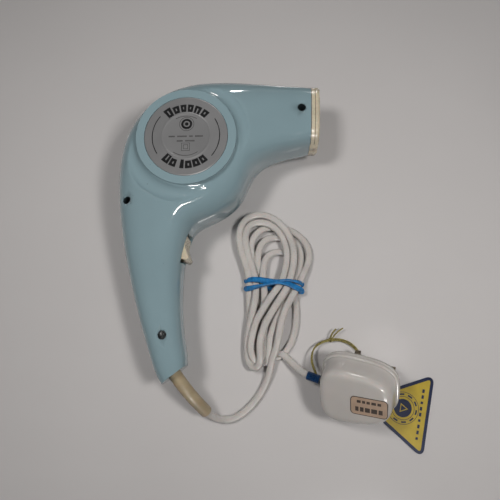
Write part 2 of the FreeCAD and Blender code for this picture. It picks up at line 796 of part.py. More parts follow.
sleeve_start = end_centre - end_out * 6
SLEEVE_DROPS = [(7.0, 0.0), (18.5, 4.0), (33.5, 17.5)]
sleeve_route = [sleeve_start + UP * middle]
sleeve_route += [end_centre + end_out * out + UP * (middle - drop) for out, drop in SLEEVE_DROPS]
sleeve_outside = tube(sleeve_route, size.sleeve_dia, "sleeve")
sleeve_bore = tube(sleeve_route, size.flex_dia + 2 * size.sleeve_gap)
named(solid(sleeve_outside.cut(sleeve_bore)), "cord_sleeve")

inner_flex = [plan_point(-15.4, -143.0, middle), plan_point(-14.2, -151.5, middle)] + sleeve_route
inner_flex_end = named(solid(tube(inner_flex, size.flex_dia, "flex in the sleeve")), "flex_in_handle")

clamp_way = inner_flex[1] - inner_flex[0]
clamp_at = inner_flex[0] + clamp_way * 0.5
clamp_turn = Rotation(Vector(1, 0, 0), clamp_way)
clamp_flat = size.flex_dia / 2 + 1.0
clamp_bars = []
for side in (-1, 1):
    clamp_bars.append(block("5", "13", "2", clamp_at + UP * (side * clamp_flat), clamp_turn))
named(group(*clamp_bars), "cord_clamp")
clamp_across = clamp_turn.multVec(Vector(0, 1, 0))
screws = []
for side in (-1, 1):
    at = clamp_at + clamp_across * (side * 4.8) - UP * (clamp_flat - 1)
    screws.append(cylinder("2.2", str(2 * (clamp_flat - 1)), at))
named(group(*screws), "clamp_screws")

tab_ends = [switch_back + Vector(-TAB_LENGTH, step, 0) for step in TAB_STEPS]
live_route = [
    inner_flex[0] + Vector(-1.4, 0.1, 0),
    plan_point(-25.0, -141.2, middle),
    plan_point(-25.0, -130, middle),
    plan_point(-30, -107, middle + 1),
    tab_ends[0] + Vector(-6, -5, 0),
    tab_ends[0] + Vector(-3.5, 0, 0),
    tab_ends[0],
]
heater_route = [
    tab_ends[2],
    tab_ends[2] + Vector(-4, 0.5, 2),
    tab_ends[2] + Vector(-3, 8, 8),
    plan_point(-18, -52, middle + 12),
    plan_point(4, -45, middle + 13),
    plan_point(29, -22, middle + 11),
    plan_point(33, 6, middle + 6),
    Vector(size.heater_start - 1, heater.y - 9, middle + 2),
]
coil_side = fan + Vector(-(size.stack_width / 2 - size.stack_limb - 0.4), 0, 0)
coil_end = coil_side + Vector(0, size.stack_reach - 5, size.stack_base + size.stack_height + 2.3)
motor_route = [
    tab_ends[1],
    tab_ends[1] + Vector(-5, 0.5, -1),
    plan_point(-36, -55, middle - 3),
    plan_point(-34, -40, middle + 2),
    plan_point(-36, -22, middle + 11),
    plan_point(-33, 4, middle + 16),
    plan_point(-25, 24, middle + 18),
    coil_end + Vector(-5, -1, 0.5),
    coil_end,
]
for label, route in (("wire_flex_to_switch", live_route), ("wire_switch_to_heater", heater_route),
                     ("wire_switch_to_motor", motor_route)):
    named(cut(solid(tube(route, size.wire_dia, label)), terminals, inner_flex_end), label)

# ---------------------------------------------------------------- flex on the table, hank and band

sleeve_mouth = sleeve_route[-1]
sleeve_way = (sleeve_route[-1] - sleeve_route[-2]).normalize()
LEAD = [
    (-0.6, -139.2, 6.0), (7.4, -139.0, 3.4), (15.4, -134.6, 2.9), (22.7, -128.0, 2.9),
    (28.8, -120.0, 3.1), (33.4, -111.0, 4.1), (36.8, -100.8, 5.8),
]
lead_route = [sleeve_mouth, sleeve_mouth + sleeve_way * 6] + vectors(LEAD)
lead = tube(lead_route, size.flex_dia, "lead")

HANK = [
    (19.4, -99.9), (25.4, -103.4), (43.4, -101.4), (52.4, -95.4), (59.4, -76.4), (61.9, -58.4),
    (58.4, -41.4), (66.4, -27.4), (68.9, -11.4), (63.4, 1.6), (45.4, 13.6), (28.4, 20.1),
    (16.4, 15.1), (10.4, 0.6), (11.9, -16.4), (17.9, -33.4), (17.4, -48.4), (14.4, -68.4), (14.9, -88.4),
]
BAND_AT = -39.4
TABLE_GAP = 0.2
hank_outline = Part.BSplineCurve()
hank_outline.interpolate([Vector(x, y, TABLE_GAP) for x, y in HANK], PeriodicFlag=True)
hank_face = Part.Face(Part.Wire(hank_outline.toShape()))
hank_full = hank_face.extrude(UP * (size.hank_height - TABLE_GAP))
waist_width = size.band_width + 4
waist = Part.makeBox(120, waist_width, size.hank_lift, Vector(-20, BAND_AT - waist_width / 2, 0))
hank_solid = hank_full.cut(waist)
named(solid(hank_solid), "cord_hank")
named(solid(lead.cut(hank_solid)), "cord_lead")

band_low = BAND_AT - size.band_width / 2
band_slice = Part.makeBox(120, size.band_width, 60, Vector(-20, band_low, 0))
waist_box = hank_solid.common(band_slice).BoundBox
band_length = waist_box.XLength + 2 * size.band_thick
band_height = waist_box.ZMax + size.band_thick - TABLE_GAP
band_corner = Vector(waist_box.XMin - size.band_thick, band_low, TABLE_GAP)
band_outside = Part.makeBox(band_length, size.band_width, band_height, band_corner)
named(solid(band_outside.cut(hank_solid)), "cord_band")

# ---------------------------------------------------------------- plug

lean_axis = Rotation(UP, PLUG_LEAN_TOWARDS + 90).multVec(Vector(1, 0, 0))
plug_turn = Rotation(lean_axis, PLUG_LEAN) * Rotation(UP, PLUG_TURN)
earth_at = size.plug_length / 2 - size.earth_pin_inset
PINS = [
    ("earth", earth_at, 0.0, size.earth_pin_width, size.pin_thick, size.earth_pin_length),
    ("live", earth_at - size.pin_spacing, size.pin_spacing / 2, size.pin_thick, size.live_pin_width,
     size.live_pin_length),
    ("neutral", earth_at - size.pin_spacing, -size.pin_spacing / 2, size.pin_thick, size.live_pin_width,
     size.live_pin_length),
]
pin_tips = [
    plug_turn.multVec(Vector(u + side * long / 2, v + other * wide / 2, -length)).z
    for _name, u, v, long, wide, length in PINS for side in (-1, 1) for other in (-1, 1)
]
plug_rise = size.tag_thick + 0.5 - min(pin_tips)
plug_place = Placement(Vector(PLUG_PLACE[0], PLUG_PLACE[1], plug_rise), plug_turn)


def plug_row(level, inset):
    """One level of the plug's rounded outline, narrower towards the earth pin."""
    points = []
    for side, rise in rounded_square(PLUG_SQUARENESS):
        u = side * (size.plug_length / 2 - inset)
        v = rise * (size.plug_width / 2 - inset)
        narrow = 1 - size.plug_taper * (u / size.plug_length + 0.5)
        points.append(Vector(u, v * narrow, level))
    return points


def in_plug(shape, label):
    part = solid(shape)
    part.Placement = plug_place
    return named(part, label)


split = size.plug_base_thick
top = size.plug_height
base_form = skinned([plug_row(0, 1.0), plug_row(1.0, 0.1), plug_row(3.5, 0.0), plug_row(split, 0.2)])
base_hollow = skinned([plug_row(2.4, 2.6), plug_row(4, 2.6), plug_row(6, 2.6), plug_row(split + 1, 2.6)])
cover_form = skinned([plug_row(split, 2.0), plug_row(split + 7, 2.2), plug_row(top - 4.5, 2.6),
                      plug_row(top - 1.4, 3.6), plug_row(top, 6.0)])
cover_hollow = skinned([plug_row(split - 1, 4.4), plug_row(split + 6, 4.6), plug_row(top - 7, 5.0),
                        plug_row(top - size.plug_wall, 7.0)])
flex_entry = Part.makeCylinder(size.flex_dia / 2 + 0.3, 12, Vector(-size.plug_length / 2 - 4, 0, split),
                               Vector(1, 0, 0))
screw_hole = Part.makeCylinder(1.75, 60, UP * -5)
pin_boxes = {}
for name, u, v, long, wide, length in PINS:
    pin_boxes[name] = Part.makeBox(long, wide, length + 5.5, Vector(u - long / 2, v - wide / 2, -length))
base = base_form.cut(base_hollow)
pillar = Part.makeCylinder(3.6, split - 0.2)
base = base.fuse(pillar).cut(flex_entry).cut(screw_hole)
for pin in pin_boxes.values():
    base = base.cut(pin)
in_plug(base, "plug_base")
nut_seat = Part.makeCylinder(3.6, top - split - 1, UP * split)
cover = cover_form.cut(cover_hollow).fuse(nut_seat.common(cover_form)).cut(flex_entry)
cover = cover.cut(Part.makeCylinder(1.5, 12, UP * (split - 1)))
in_plug(cover, "plug_cover")
screw = Part.makeCylinder(1.5, split + 9, UP * 1.5).fuse(Part.makeCylinder(1.7, 1.5))
in_plug(screw, "plug_cover_screw")
for name, pin in pin_boxes.items():
    in_plug(pin.makeFillet(0.7, [e for e in pin.Edges if all(v.Point.z < -5 for v in e.Vertexes)]),
            f"plug_{name}_pin")
fuse_middle = Vector(earth_at - size.pin_spacing + 7.5, size.pin_spacing / 2 + 0.3, 10.0)
fuse_end = fuse_middle - Vector(size.fuse_length / 2, 0, 0)
fuse_body = Part.makeCylinder(size.fuse_dia / 2, size.fuse_length, fuse_end, Vector(1, 0, 0))
in_plug(fuse_body, "plug_fuse")
clips = []
for side in (-1, 1):
    clip_at = fuse_middle + Vector(side * (size.fuse_length / 2 - 3), 0, 0)
    clip_corner = clip_at + Vector(-2, -size.fuse_dia / 2 - 0.7, -4.5)
    clip_box = Part.makeBox(4, size.fuse_dia + 1.4, 5.4, clip_corner)
    clips.append(clip_box.cut(fuse_body))
in_plug(Part.makeCompound(clips), "plug_fuse_clips")
grip = Part.makeBox(4, 16, 3, Vector(-size.plug_length / 2 + 6, -8, split + size.flex_dia / 2 + 0.4))
in_plug(grip, "plug_cord_grip")
label_plate = Part.makeBox(23, 13, 0.3, Vector(-2.0, -9.0, top + 0.02))
label_plate = label_plate.makeFillet(3.0, upright_edges(label_plate))
in_plug(label_plate, "plug_label")

plug_wall_at = -size.plug_length / 2 - 0.6
flex_in_plug = Part.makeCylinder(size.flex_dia / 2, 13, Vector(plug_wall_at + 0.4, 0, split), Vector(1, 0, 0))
in_plug(flex_in_plug, "flex_in_plug")
plug_mouth = plug_place.multVec(Vector(plug_wall_at - 0.6, 0, split))
plug_way = Vector(-0.86, 0.42, -0.29).normalize()
print("plug mouth", plug_mouth, "rise", plug_rise)
TAIL = [(47.4, -91.4, 8.0), (53.9, -99.4, 13.0)]
TAPE_LENGTH = 5.0
tail_route = vectors(TAIL) + [plug_mouth + plug_way * 12, plug_mouth]
named(solid(tube(tail_route, size.flex_dia, "tail").cut(hank_solid)), "cord_tail")
tape_start = plug_mouth + plug_way * 0.8
tape = Part.makeCylinder(size.flex_dia / 2 + 0.45, TAPE_LENGTH, tape_start, plug_way)
tape = tape.cut(Part.makeCylinder(size.flex_dia / 2, 16, tape_start - plug_way * 2, plug_way))
named(solid(tape), "marker_tape")

# ---------------------------------------------------------------- swing tag and its string

TAG_FACES = Vector(99.3, -122.2, 0.2)
TAG_TURN = -17.0
tag_height = size.tag_side * math.sqrt(3) / 2
tag_turn = Rotation(UP, TAG_TURN)
tag_edge = [Vector(tag_height, side * size.tag_side / 2, 0) for side in (-1, 1)]
tag_points = [Vector()] + tag_edge
tag = Part.Face(Part.makePolygon(tag_points + tag_points[:1])).extrude(UP * size.tag_thick)
tag = tag.makeFillet(size.tag_corner, upright_edges(tag))
tag_hole = Vector(size.tag_corner + 4, 0, 0)
tag = tag.cut(Part.makeCylinder(2.0, 5, tag_hole - UP * 2))
part = solid(tag)
part.Placement = Placement(TAG_FACES, tag_turn)
named(part, "swing_tag")

STRING = [(66.4, -95.9, 14.0), (68.4, -87.9, 8.5), (75.9, -82.6, 5.5), (85.9, -80.4, 4.5), (95.9, -82.4, 4.0),
          (103.4, -89.4, 3.2), (106.9, -99.4, 2.4), (108.2, -110.4, 2.0)]
tag_eye = TAG_FACES + tag_turn.multVec(tag_hole) + UP * (size.tag_thick + 0.1)
string_start = tape_start + plug_way * (TAPE_LENGTH / 2) + Vector(1.2, 3.4, 3.4)
string_route = [string_start] + vectors(STRING) + [tag_eye + UP * (size.string_dia / 2)]
named(solid(tube(string_route, size.string_dia, "string")), "tag_string")

# ---------------------------------------------------------------- write the files

doc.recompute()
for part in doc.Objects:
    if {"Invalid", "Error"} & set(part.State):
        raise RuntimeError(f"{part.Label} failed: {part.State}")
for part in sub_parts:
    if part.Shape.isNull() or not part.Shape.isValid():
        raise RuntimeError(f"{part.Label} has no valid shape")

os.makedirs("parts", exist_ok=True)
for part in sub_parts:
    part.Shape.exportStep(f"parts/{part.Label}.step")
    box = part.Shape.BoundBox
    print(part.Label, len(part.Shape.Solids), "solids", round(part.Shape.Volume, 1),
          [round(v, 1) for v in (box.XMin, box.YMin, box.ZMin, box.XMax, box.YMax, box.ZMax)])
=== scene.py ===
import json
import math

import bmesh
import bpy
from mathutils import Matrix, Vector
from mathutils.bvhtree import BVHTree


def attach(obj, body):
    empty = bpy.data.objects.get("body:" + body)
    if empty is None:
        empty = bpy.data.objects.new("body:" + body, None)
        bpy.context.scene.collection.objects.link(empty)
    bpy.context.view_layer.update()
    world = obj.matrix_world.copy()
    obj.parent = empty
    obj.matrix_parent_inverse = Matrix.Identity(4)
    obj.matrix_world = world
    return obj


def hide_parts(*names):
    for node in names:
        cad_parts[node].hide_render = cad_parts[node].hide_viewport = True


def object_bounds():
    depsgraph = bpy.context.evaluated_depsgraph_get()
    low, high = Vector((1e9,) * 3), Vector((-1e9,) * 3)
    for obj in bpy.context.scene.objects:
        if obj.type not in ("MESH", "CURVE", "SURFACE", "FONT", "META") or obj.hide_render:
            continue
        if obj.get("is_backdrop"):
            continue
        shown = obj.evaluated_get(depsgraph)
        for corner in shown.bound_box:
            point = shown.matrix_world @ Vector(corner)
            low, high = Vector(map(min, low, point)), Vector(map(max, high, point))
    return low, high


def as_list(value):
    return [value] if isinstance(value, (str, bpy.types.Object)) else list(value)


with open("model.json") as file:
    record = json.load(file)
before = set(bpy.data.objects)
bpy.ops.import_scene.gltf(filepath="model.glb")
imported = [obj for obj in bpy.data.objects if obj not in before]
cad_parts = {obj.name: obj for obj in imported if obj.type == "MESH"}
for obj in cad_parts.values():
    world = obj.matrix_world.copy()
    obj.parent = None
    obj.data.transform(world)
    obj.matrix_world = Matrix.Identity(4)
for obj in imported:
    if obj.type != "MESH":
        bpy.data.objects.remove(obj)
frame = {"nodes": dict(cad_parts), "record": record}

bl_info = {
    "name": "Hand Hair Dryer",
    "version": (1, 0, 0),
    "blender": (4, 5, 0),
    "location": "View3D > Sidebar > Hair Dryer",
    "description": "Builds a hand hair dryer with its tied flex, plug and swing tag",
    "category": "Object",
}

CAD_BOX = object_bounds()
MM = 0.001

# The fan's axis where it meets the table, and the height of the housing's middle, in millimetres.
FAN = Vector((-22.1, 58.8, 0.0))
MIDDLE_HEIGHT = 34.5

# The camera's place in metres, and two of its own directions.
CAMERA_AT = (0.035635, -0.089812, 0.380)
CAMERA_RIGHT = Vector((0.99917, 0.0, -0.04069))
CAMERA_BACK = Vector((0.03977, -0.20789, 0.97734))

# From the sleeve's mouth down to the table and up over the hank.
LEAD_POINTS = [
    (-10.8, -132.0, 17), (-8.0, -135.6, 13), (-0.6, -139.2, 6), (7.4, -139.0, 3.4), (15.4, -134.6, 2.9),
    (22.7, -128.0, 2.9), (28.8, -120.0, 3.1), (33.4, -111.0, 4.1), (36.0, -102.0, 6.4),
]
# Five turns and their folds, in the order that they were wound.
HANK_POINTS = [
    (37.3, -94.5, 8.1), (41.2, -84.7, 13.2), (42.7, -75.0, 14.3), (46.0, -61.3, 13.5),
    (51.5, -50.4, 11.8), (57.1, -41.0, 8.9), (62.2, -30.3, 6.8), (66.6, -21.2, 4.5),
    (67.9, -12.2, 3.3), (64.8, -3.4, 2.8), (58.1, 3.5, 2.7), (48.7, 7.8, 2.8), (39.2, 8.7, 3.8),
    (30.4, 7.1, 5.7), (23.7, 0.8, 7.5), (20.9, -8.1, 7.3), (21.9, -19.9, 5.2), (25.5, -31.7, 3.2),
    (26.8, -43.5, 2.3), (26.4, -57.9, 2.3), (25.1, -70.9, 2.1), (24.7, -82.6, 2.1),
    (25.2, -91.6, 2.1), (27.9, -98.0, 3.3), (33.4, -97.6, 5.4), (35.3, -89.6, 7.6),
    (35.7, -78.8, 9), (40.0, -66.1, 9.5), (45.7, -55.7, 8.6), (52.3, -45.1, 6.7), (56.4, -34.5, 5.8),
    (59.3, -25.0, 4.7), (61.0, -15.4, 3.5), (59.2, -6.4, 2.9), (53.3, -1.0, 2.8), (42.0, 0.5, 3.1),
    (33.4, -1.2, 5), (28.2, -7.5, 5.9), (26.3, -17.0, 5.8), (27.7, -27.5, 4.6), (31.1, -36.7, 3.1),
    (31.1, -49.9, 2.6), (29.7, -65.5, 2.1), (29.5, -80.9, 2.1), (33.7, -91.9, 2.1),
    (41.2, -94.5, 2.1), (48.3, -89.3, 2.1), (53.8, -79.8, 2.1), (56.5, -67.0, 2.1),
    (56.6, -54.0, 2.1), (55.0, -42.3, 2.7), (53.8, -31.6, 2.3), (55.0, -22.1, 2.1),
    (54.3, -15.3, 2.3), (47.9, -11.7, 2.6), (39.4, -11.7, 3.8), (33.5, -15.7, 5.7),
    (31.0, -23.6, 6.6), (30.5, -34.4, 8.2), (31.9, -44.9, 8.2), (31.4, -57.7, 7.2), (31.3, -71.6, 6.8),
    (31.3, -84.2, 7), (30.6, -92.4, 7.1), (26.4, -98.4, 8.2), (21.9, -93.4, 9.6), (20.9, -86.0, 10),
    (22.0, -78.3, 10.3), (25.0, -67.1, 11.2), (30.1, -58.4, 12.1), (36.6, -48.2, 12.1),
    (44.4, -38.5, 11.1), (48.1, -27.3, 10.1), (49.9, -17.7, 8.6), (49.2, -8.2, 8.1),
    (45.7, 1.8, 8.6), (38.4, 8.9, 9.2), (29.1, 11.9, 10.3), (20.5, 9.5, 10.4), (16.7, 2.3, 10),
    (17.3, -8.9, 9.7), (21.0, -21.5, 8.9), (24.8, -33.3, 8), (25.4, -45.3, 9.3), (22.9, -58.2, 9.2),
    (19.9, -70.9, 7.8), (18.5, -81.0, 6.7), (18.3, -91.1, 6.3), (19.6, -98.2, 7.3),
    (24, -102.4, 9.6), (28.4, -98.3, 12), (28.2, -89.6, 13.4), (28.3, -80.0, 14.1),
    (32.7, -67.6, 14.4), (40.4, -54.9, 13.8), (49.1, -42.1, 12.7), (52.9, -30.3, 12.1),
    (55.1, -19.6, 11.1), (54.6, -8.2, 10.6), (50.2, 3.2, 11.1), (43.0, 11.2, 12.1),
    (33.8, 16.6, 12.6), (24.5, 17.0, 12.6), (15.7, 12.6, 12.1), (11.6, 2.2, 11.1), (12.8, -9.8, 10.1),
    (17.3, -23.0, 9.2), (20.2, -34.7, 8.2), (19.8, -44.7, 5.3), (19.8, -57.5, 4.5),
    (20.8, -70.3, 4.1), (23.4, -81.6, 4.4), (29.6, -88.5, 4.5), (38.1, -89.7, 4.6),
    (45.2, -91.1, 4.6),
]
# Out from under the hank and up into the plug.
TAIL_POINTS = [
    (50.9, -96.8, 6.3), (57.4, -102.8, 11.2), (63.9, -106.8, 17.6), (71.1, -109.3, 21.0),
]

# How the plug lies: the middle of its base, its turn, its lean and the side that it leans to.
PLUG_MIDDLE = Vector((99.9, -109.9, 24.87))
PLUG_TURN = -3.0
PLUG_LEAN = 37.0
PLUG_LEANS_TO = 233.0
PLUG_PINS = ("plug_earth_pin", "plug_live_pin", "plug_neutral_pin")

# Levels above the plug's base: the joint of base and cover, the cover's top and the label's paper.
PLUG_JOINT = 7.0
PLUG_TOP = 25.0
LABEL_FACE = 25.2

# Round the bundle under the band, seen along the hank: across and up.
BAND_SHAPE = [
    (20.4, 2.2), (17.4, 5.0), (17.8, 9.0), (21.9, 12.4), (28.4, 13.8), (35.4, 15.0), (42.4, 16.2),
    (48.9, 16.6), (54.9, 15.0), (59.6, 11.6), (61.2, 6.9), (58.4, 2.6), (49.4, 1.9), (39.4, 1.9),
    (29.4, 1.9),
]
# Where each wrap of the band lies along the hank, one value for each point of its shape.
BAND_DRIFTS = {
    "band_first_wrap": [
        -36.6, -35.8, -35.2, -34.8, -35.4, -36.8, -37.6, -36.4, -36.6, -37.6, -38.4, -38.2, -37.4,
        -37.0, -36.8,
    ],
    "band_second_wrap": [
        -40.6, -41.0, -41.8, -41.4, -40.2, -38.8, -37.2, -38.6, -41.0, -43.0, -44.2, -43.4, -42.0,
        -41.0, -40.6,
    ],
}

# From the tape by the plug, down beside the hank and round the far side of the plug to the tag.
STRING_POINTS = [
    (68.6, -105.6, 20.0), (66.8, -100.9, 17.0), (66.0, -94.9, 12.5), (68.0, -87.8, 8.0), (73.8, -83.3, 5.0),
    (81.9, -81.0, 4.0), (90.9, -81.2, 3.6), (98.4, -85.0, 3.4), (104.0, -91.8, 3.2), (107.2, -100.9, 2.6),
    (108.4, -110.4, 2.2), (107.9, -117.4, 2.0), (107.9, -124.8, 1.9),
]
KNOT_AT = Vector((82.2, -81.0, 4.4))
STRING_THICK = 0.0011

# From the fan's axis: the housing screws, and the two sides of the outlet.
SCREW_SPOTS = ((82.5, 27.0), (-42.5, -43.3), (-16.1, -137.2))
MOUTH_ENDS = ((90.0, 48.3, 0.0), (88.9, 2.6, 0.0))
MOUTH_HALF_HEIGHT = 22.0

# The height of the round plate's face, and of the print on it.
PLATE_FACE = 69.2
PRINT_RISE = 0.05
FINE_RISE = 0.04

# The tag's corner by the string and its turn, its card and border, and the middle of its round mark.
TAG_AT = Vector((101.5, -124.9, 0.2))
TAG_TURN = -12.6
TAG_THICK = 0.6
TAG_BORDER = 2.3
MARK_MIDDLE = Vector((134.3, -130.7, 0.2))


# ---------------------------------------------------------------- sizes and colours

class DryerShellSettings(bpy.types.PropertyGroup):
    """Sizes and colour of the moulded housing."""
    colour: bpy.props.FloatVectorProperty(
        name="Shell colour", description="Colour of the two moulded shells", subtype="COLOR",
        size=3, min=0, max=1, default=(0.235, 0.335, 0.370))
    trim_colour: bpy.props.FloatVectorProperty(
        name="Trim colour", description="Colour of the outlet ring, the rocker and the grille",
        subtype="COLOR", size=3, min=0, max=1, default=(0.62, 0.55, 0.41))
    plate_radius: bpy.props.FloatProperty(
        name="Plate radius", description="Radius of the round plate", unit="LENGTH", default=0.0295)
    emboss_radius: bpy.props.FloatProperty(
        name="Embossed ring", description="Radius of the raised ring on the plate", unit="LENGTH",
        default=0.0170)


class DryerFlexSettings(bpy.types.PropertyGroup):
    """Sizes and colours of the flex, its sleeve and its band."""
    width: bpy.props.FloatProperty(
        name="Flex width", description="Width of the flat flex", unit="LENGTH", default=0.0054)
    thickness: bpy.props.FloatProperty(
        name="Flex thickness", description="Thickness of the flat flex", unit="LENGTH", default=0.0037)
    colour: bpy.props.FloatVectorProperty(
        name="Flex colour", description="Colour of the flex", subtype="COLOR", size=3, min=0, max=1,
        default=(0.56, 0.53, 0.505))
    sleeve_colour: bpy.props.FloatVectorProperty(
        name="Sleeve colour", description="Colour of the yellowed sleeve", subtype="COLOR", size=3,
        min=0, max=1, default=(0.41, 0.33, 0.21))
    band_colour: bpy.props.FloatVectorProperty(
        name="Band colour", description="Colour of the rubber band", subtype="COLOR", size=3,
        min=0, max=1, default=(0.018, 0.21, 0.52))


class DryerPlugSettings(bpy.types.PropertyGroup):
    """Sizes and colours of the plug and the swing tag."""
    length: bpy.props.FloatProperty(
        name="Plug length", description="From the flex's side to the earth pin's side", unit="LENGTH",
        default=0.054)
    width: bpy.props.FloatProperty(
        name="Plug width", description="Across the live and neutral pins", unit="LENGTH", default=0.050)
    taper: bpy.props.FloatProperty(
        name="Taper", description="How much narrower the plug is at its earth pin", default=0.26,
        min=0, max=0.5)
    colour: bpy.props.FloatVectorProperty(
        name="Plug colour", description="Colour of the plug's base and cover", subtype="COLOR", size=3,
        min=0, max=1, default=(0.52, 0.49, 0.465))
    tag_side: bpy.props.FloatProperty(
        name="Tag side", description="Length of the tag's side before its corners are rounded",
        unit="LENGTH", default=0.061)
    tag_colour: bpy.props.FloatVectorProperty(
        name="Tag colour", description="Printed colour of the tag's face", subtype="COLOR", size=3,
        min=0, max=1, default=(0.52, 0.38, 0.045))


class DryerStageSettings(bpy.types.PropertyGroup):
    """The floor and the lights."""
    floor_size: bpy.props.FloatProperty(
        name="Floor size", description="Side of the square floor", unit="LENGTH", default=6.0)
    key_power: bpy.props.FloatProperty(
        name="Key power", description="Power of the large soft light", unit="POWER", default=1.55)
    fill_power: bpy.props.FloatProperty(
        name="Fill power", description="Power of the light on the other side", unit="POWER", default=1.15)
    strip_power: bpy.props.FloatProperty(
        name="Strip power", description="Power of the long narrow lights", unit="POWER", default=9.0)
    ambient: bpy.props.FloatProperty(
        name="Ambient light", description="Strength of the even light from all round", default=0.075)


# ---------------------------------------------------------------- finishes

def noise_node(tree, scale, detail=3.0, stretch=(1, 1, 1)):
    """Noise on Object coordinates, stretched along the axes."""
    place = tree.nodes.new("ShaderNodeTexCoord")
    mapping = tree.nodes.new("ShaderNodeMapping")
    mapping.inputs["Scale"].default_value = stretch
    noise = tree.nodes.new("ShaderNodeTexNoise")
    noise.inputs["Scale"].default_value = scale
    noise.inputs["Detail"].default_value = detail
    tree.links.new(place.outputs["Object"], mapping.inputs["Vector"])
    tree.links.new(mapping.outputs["Vector"], noise.inputs["Vector"])
    return noise


def mapped(tree, source, low, high, start=0.0, end=1.0):
    """A number that goes from start to end as the source goes from low to high."""
    spread = tree.nodes.new("ShaderNodeMapRange")
    spread.inputs["From Min"].default_value = low
    spread.inputs["From Max"].default_value = high
    spread.inputs["To Min"].default_value = start
    spread.inputs["To Max"].default_value = end
    tree.links.new(source, spread.inputs["Value"])
    return spread.outputs["Result"]


def two_tone(tree, factor, first, second):
    """One colour giving way to another; either may be a socket."""
    blend = tree.nodes.new("ShaderNodeMix")
    blend.data_type = "RGBA"
    for index, tone in ((6, first), (7, second)):
        if isinstance(tone, bpy.types.NodeSocket):
            tree.links.new(tone, blend.inputs[index])
        else:
            blend.inputs[index].default_value = (*tone, 1)
    tree.links.new(factor, blend.inputs[0])
    return blend.outputs[2]


def shaded(colour, share):
    """The colour, darkened to a share of itself."""
    return tuple(channel * share for channel in colour)


def finish(name, colour, rough=(0.3, 0.4), darkest=0.9, mottle=60.0, grain=900.0, grain_depth=0.00002,
           metallic=0.0, coat=0.0, stretch=(1, 1, 1), specks=0.0, subsurface=0.0):
    """A finish that varies a little in colour and roughness and has a fine surface grain."""
    name = "dryer_" + name
    if name in bpy.data.materials:
        return bpy.data.materials[name]
    material = bpy.data.materials.new(name)
    material.use_nodes = True
    tree = material.node_tree
    shader = tree.nodes["Principled BSDF"]
    shader.inputs["Metallic"].default_value = metallic
    shader.inputs["Coat Weight"].default_value = coat
    shader.inputs["Coat Roughness"].default_value = 0.03
    if subsurface:
        shader.inputs["Subsurface Weight"].default_value = subsurface
        shader.inputs["Subsurface Scale"].default_value = 0.0015
    broad = noise_node(tree, mottle, 4.0)
    patch = mapped(tree, broad.outputs["Fac"], 0.35, 0.65)
    tone = two_tone(tree, patch, shaded(colour, darkest), colour)
    if specks:
        cells = tree.nodes.new("ShaderNodeTexVoronoi")
        cells.inputs["Scale"].default_value = 85.0
        tree.links.new(broad.inputs["Vector"].links[0].from_socket, cells.inputs["Vector"])
        mark = mapped(tree, cells.outputs["Distance"], 0.022, 0.032, specks, 0.0)
        tone = two_tone(tree, mark, tone, shaded(colour, 0.25))
    tree.links.new(tone, shader.inputs["Base Color"])
    fine = noise_node(tree, grain, 3.0, stretch)
    tree.links.new(mapped(tree, fine.outputs["Fac"], 0.3, 0.7, *rough), shader.inputs["Roughness"])
    bump = tree.nodes.new("ShaderNodeBump")
    bump.inputs["Strength"].default_value = 0.5
    bump.inputs["Distance"].default_value = grain_depth
    tree.links.new(fine.outputs["Fac"], bump.inputs["Height"])
    tree.links.new(bump.outputs["Normal"], shader.inputs["Normal"])
    return material


def settings():
    """The sizes and colours of the shell, the flex, the plug and the stage."""
    scene = bpy.context.scene
    return scene.dryer_shell, scene.dryer_flex, scene.dryer_plug, scene.dryer_stage


def shell_blue():
    return finish("shell_blue", settings()[0].colour, (0.06, 0.10), 0.95, 26.0, 420.0, 0.000004, coat=0.5,
                  specks=0.7)


def cream_plastic():
    return finish("cream_plastic", settings()[0].trim_colour, (0.22, 0.34), 0.86, 90.0, 700.0, 0.00002,
                  coat=0.15, subsurface=0.1)


def satin_aluminium():
    return finish("satin_aluminium", (0.36, 0.36, 0.365), (0.40, 0.50), 0.93, 60.0, 2600.0, 0.00001,
                  metallic=0.55, stretch=(1, 14, 1))


def print_black():
    return finish("print_black", (0.012, 0.012, 0.013), (0.35, 0.5), 0.8, 200.0, 1500.0)


def print_grey():
    return finish("print_grey", (0.10, 0.10, 0.10), (0.4, 0.55), 0.8, 300.0, 1500.0)


def dark_steel():
    return finish("dark_steel", (0.42, 0.43, 0.43), (0.28, 0.45), 0.55, 500.0, 1800.0, metallic=0.9)


def flex_white():
    return finish("flex_white", settings()[1].colour, (0.24, 0.36), 0.88, 70.0, 900.0, 0.00002,
                  subsurface=0.08)


def sleeve_tan():
    return finish("sleeve_tan", settings()[1].sleeve_colour, (0.34, 0.48), 0.78, 130.0, 800.0, 0.00003,
                  subsurface=0.1)


def band_blue():
    return finish("band_blue", settings()[1].band_colour, (0.42, 0.58), 0.6, 420.0, 2400.0, 0.00006,
                  stretch=(0.2, 1, 1))


def tape_navy():
    return finish("tape_navy", (0.008, 0.05, 0.16), (0.22, 0.35), 0.6, 300.0, 1500.0)


def plug_white():
    return finish("plug_white", settings()[2].colour, (0.14, 0.24), 0.94, 40.0, 600.0, 0.00001, coat=0.2,
                  subsurface=0.06)


# Brass darkened to a deep brown as painted shade, for the pins that lie in the shadow under the plug.
def shade_darkened_brass():
    return finish("shade_darkened_brass", (0.17, 0.13, 0.085), (0.3, 0.5), 0.45, 260.0, 1600.0, metallic=0.9)


def tag_yellow():
    return finish("tag_yellow", settings()[2].tag_colour, (0.30, 0.42), 0.85, 110.0, 900.0, 0.00002)


def tag_navy():
    return finish("tag_navy", (0.012, 0.022, 0.07), (0.30, 0.42), 0.7, 160.0, 900.0, 0.00002)


def label_paper():
    return finish("label_paper", (0.42, 0.29, 0.20), (0.42, 0.55), 0.82, 160.0, 1200.0, 0.00003)


def label_brown():
    return finish("label_brown", (0.045, 0.024, 0.014), (0.4, 0.5), 0.7, 200.0, 1200.0)


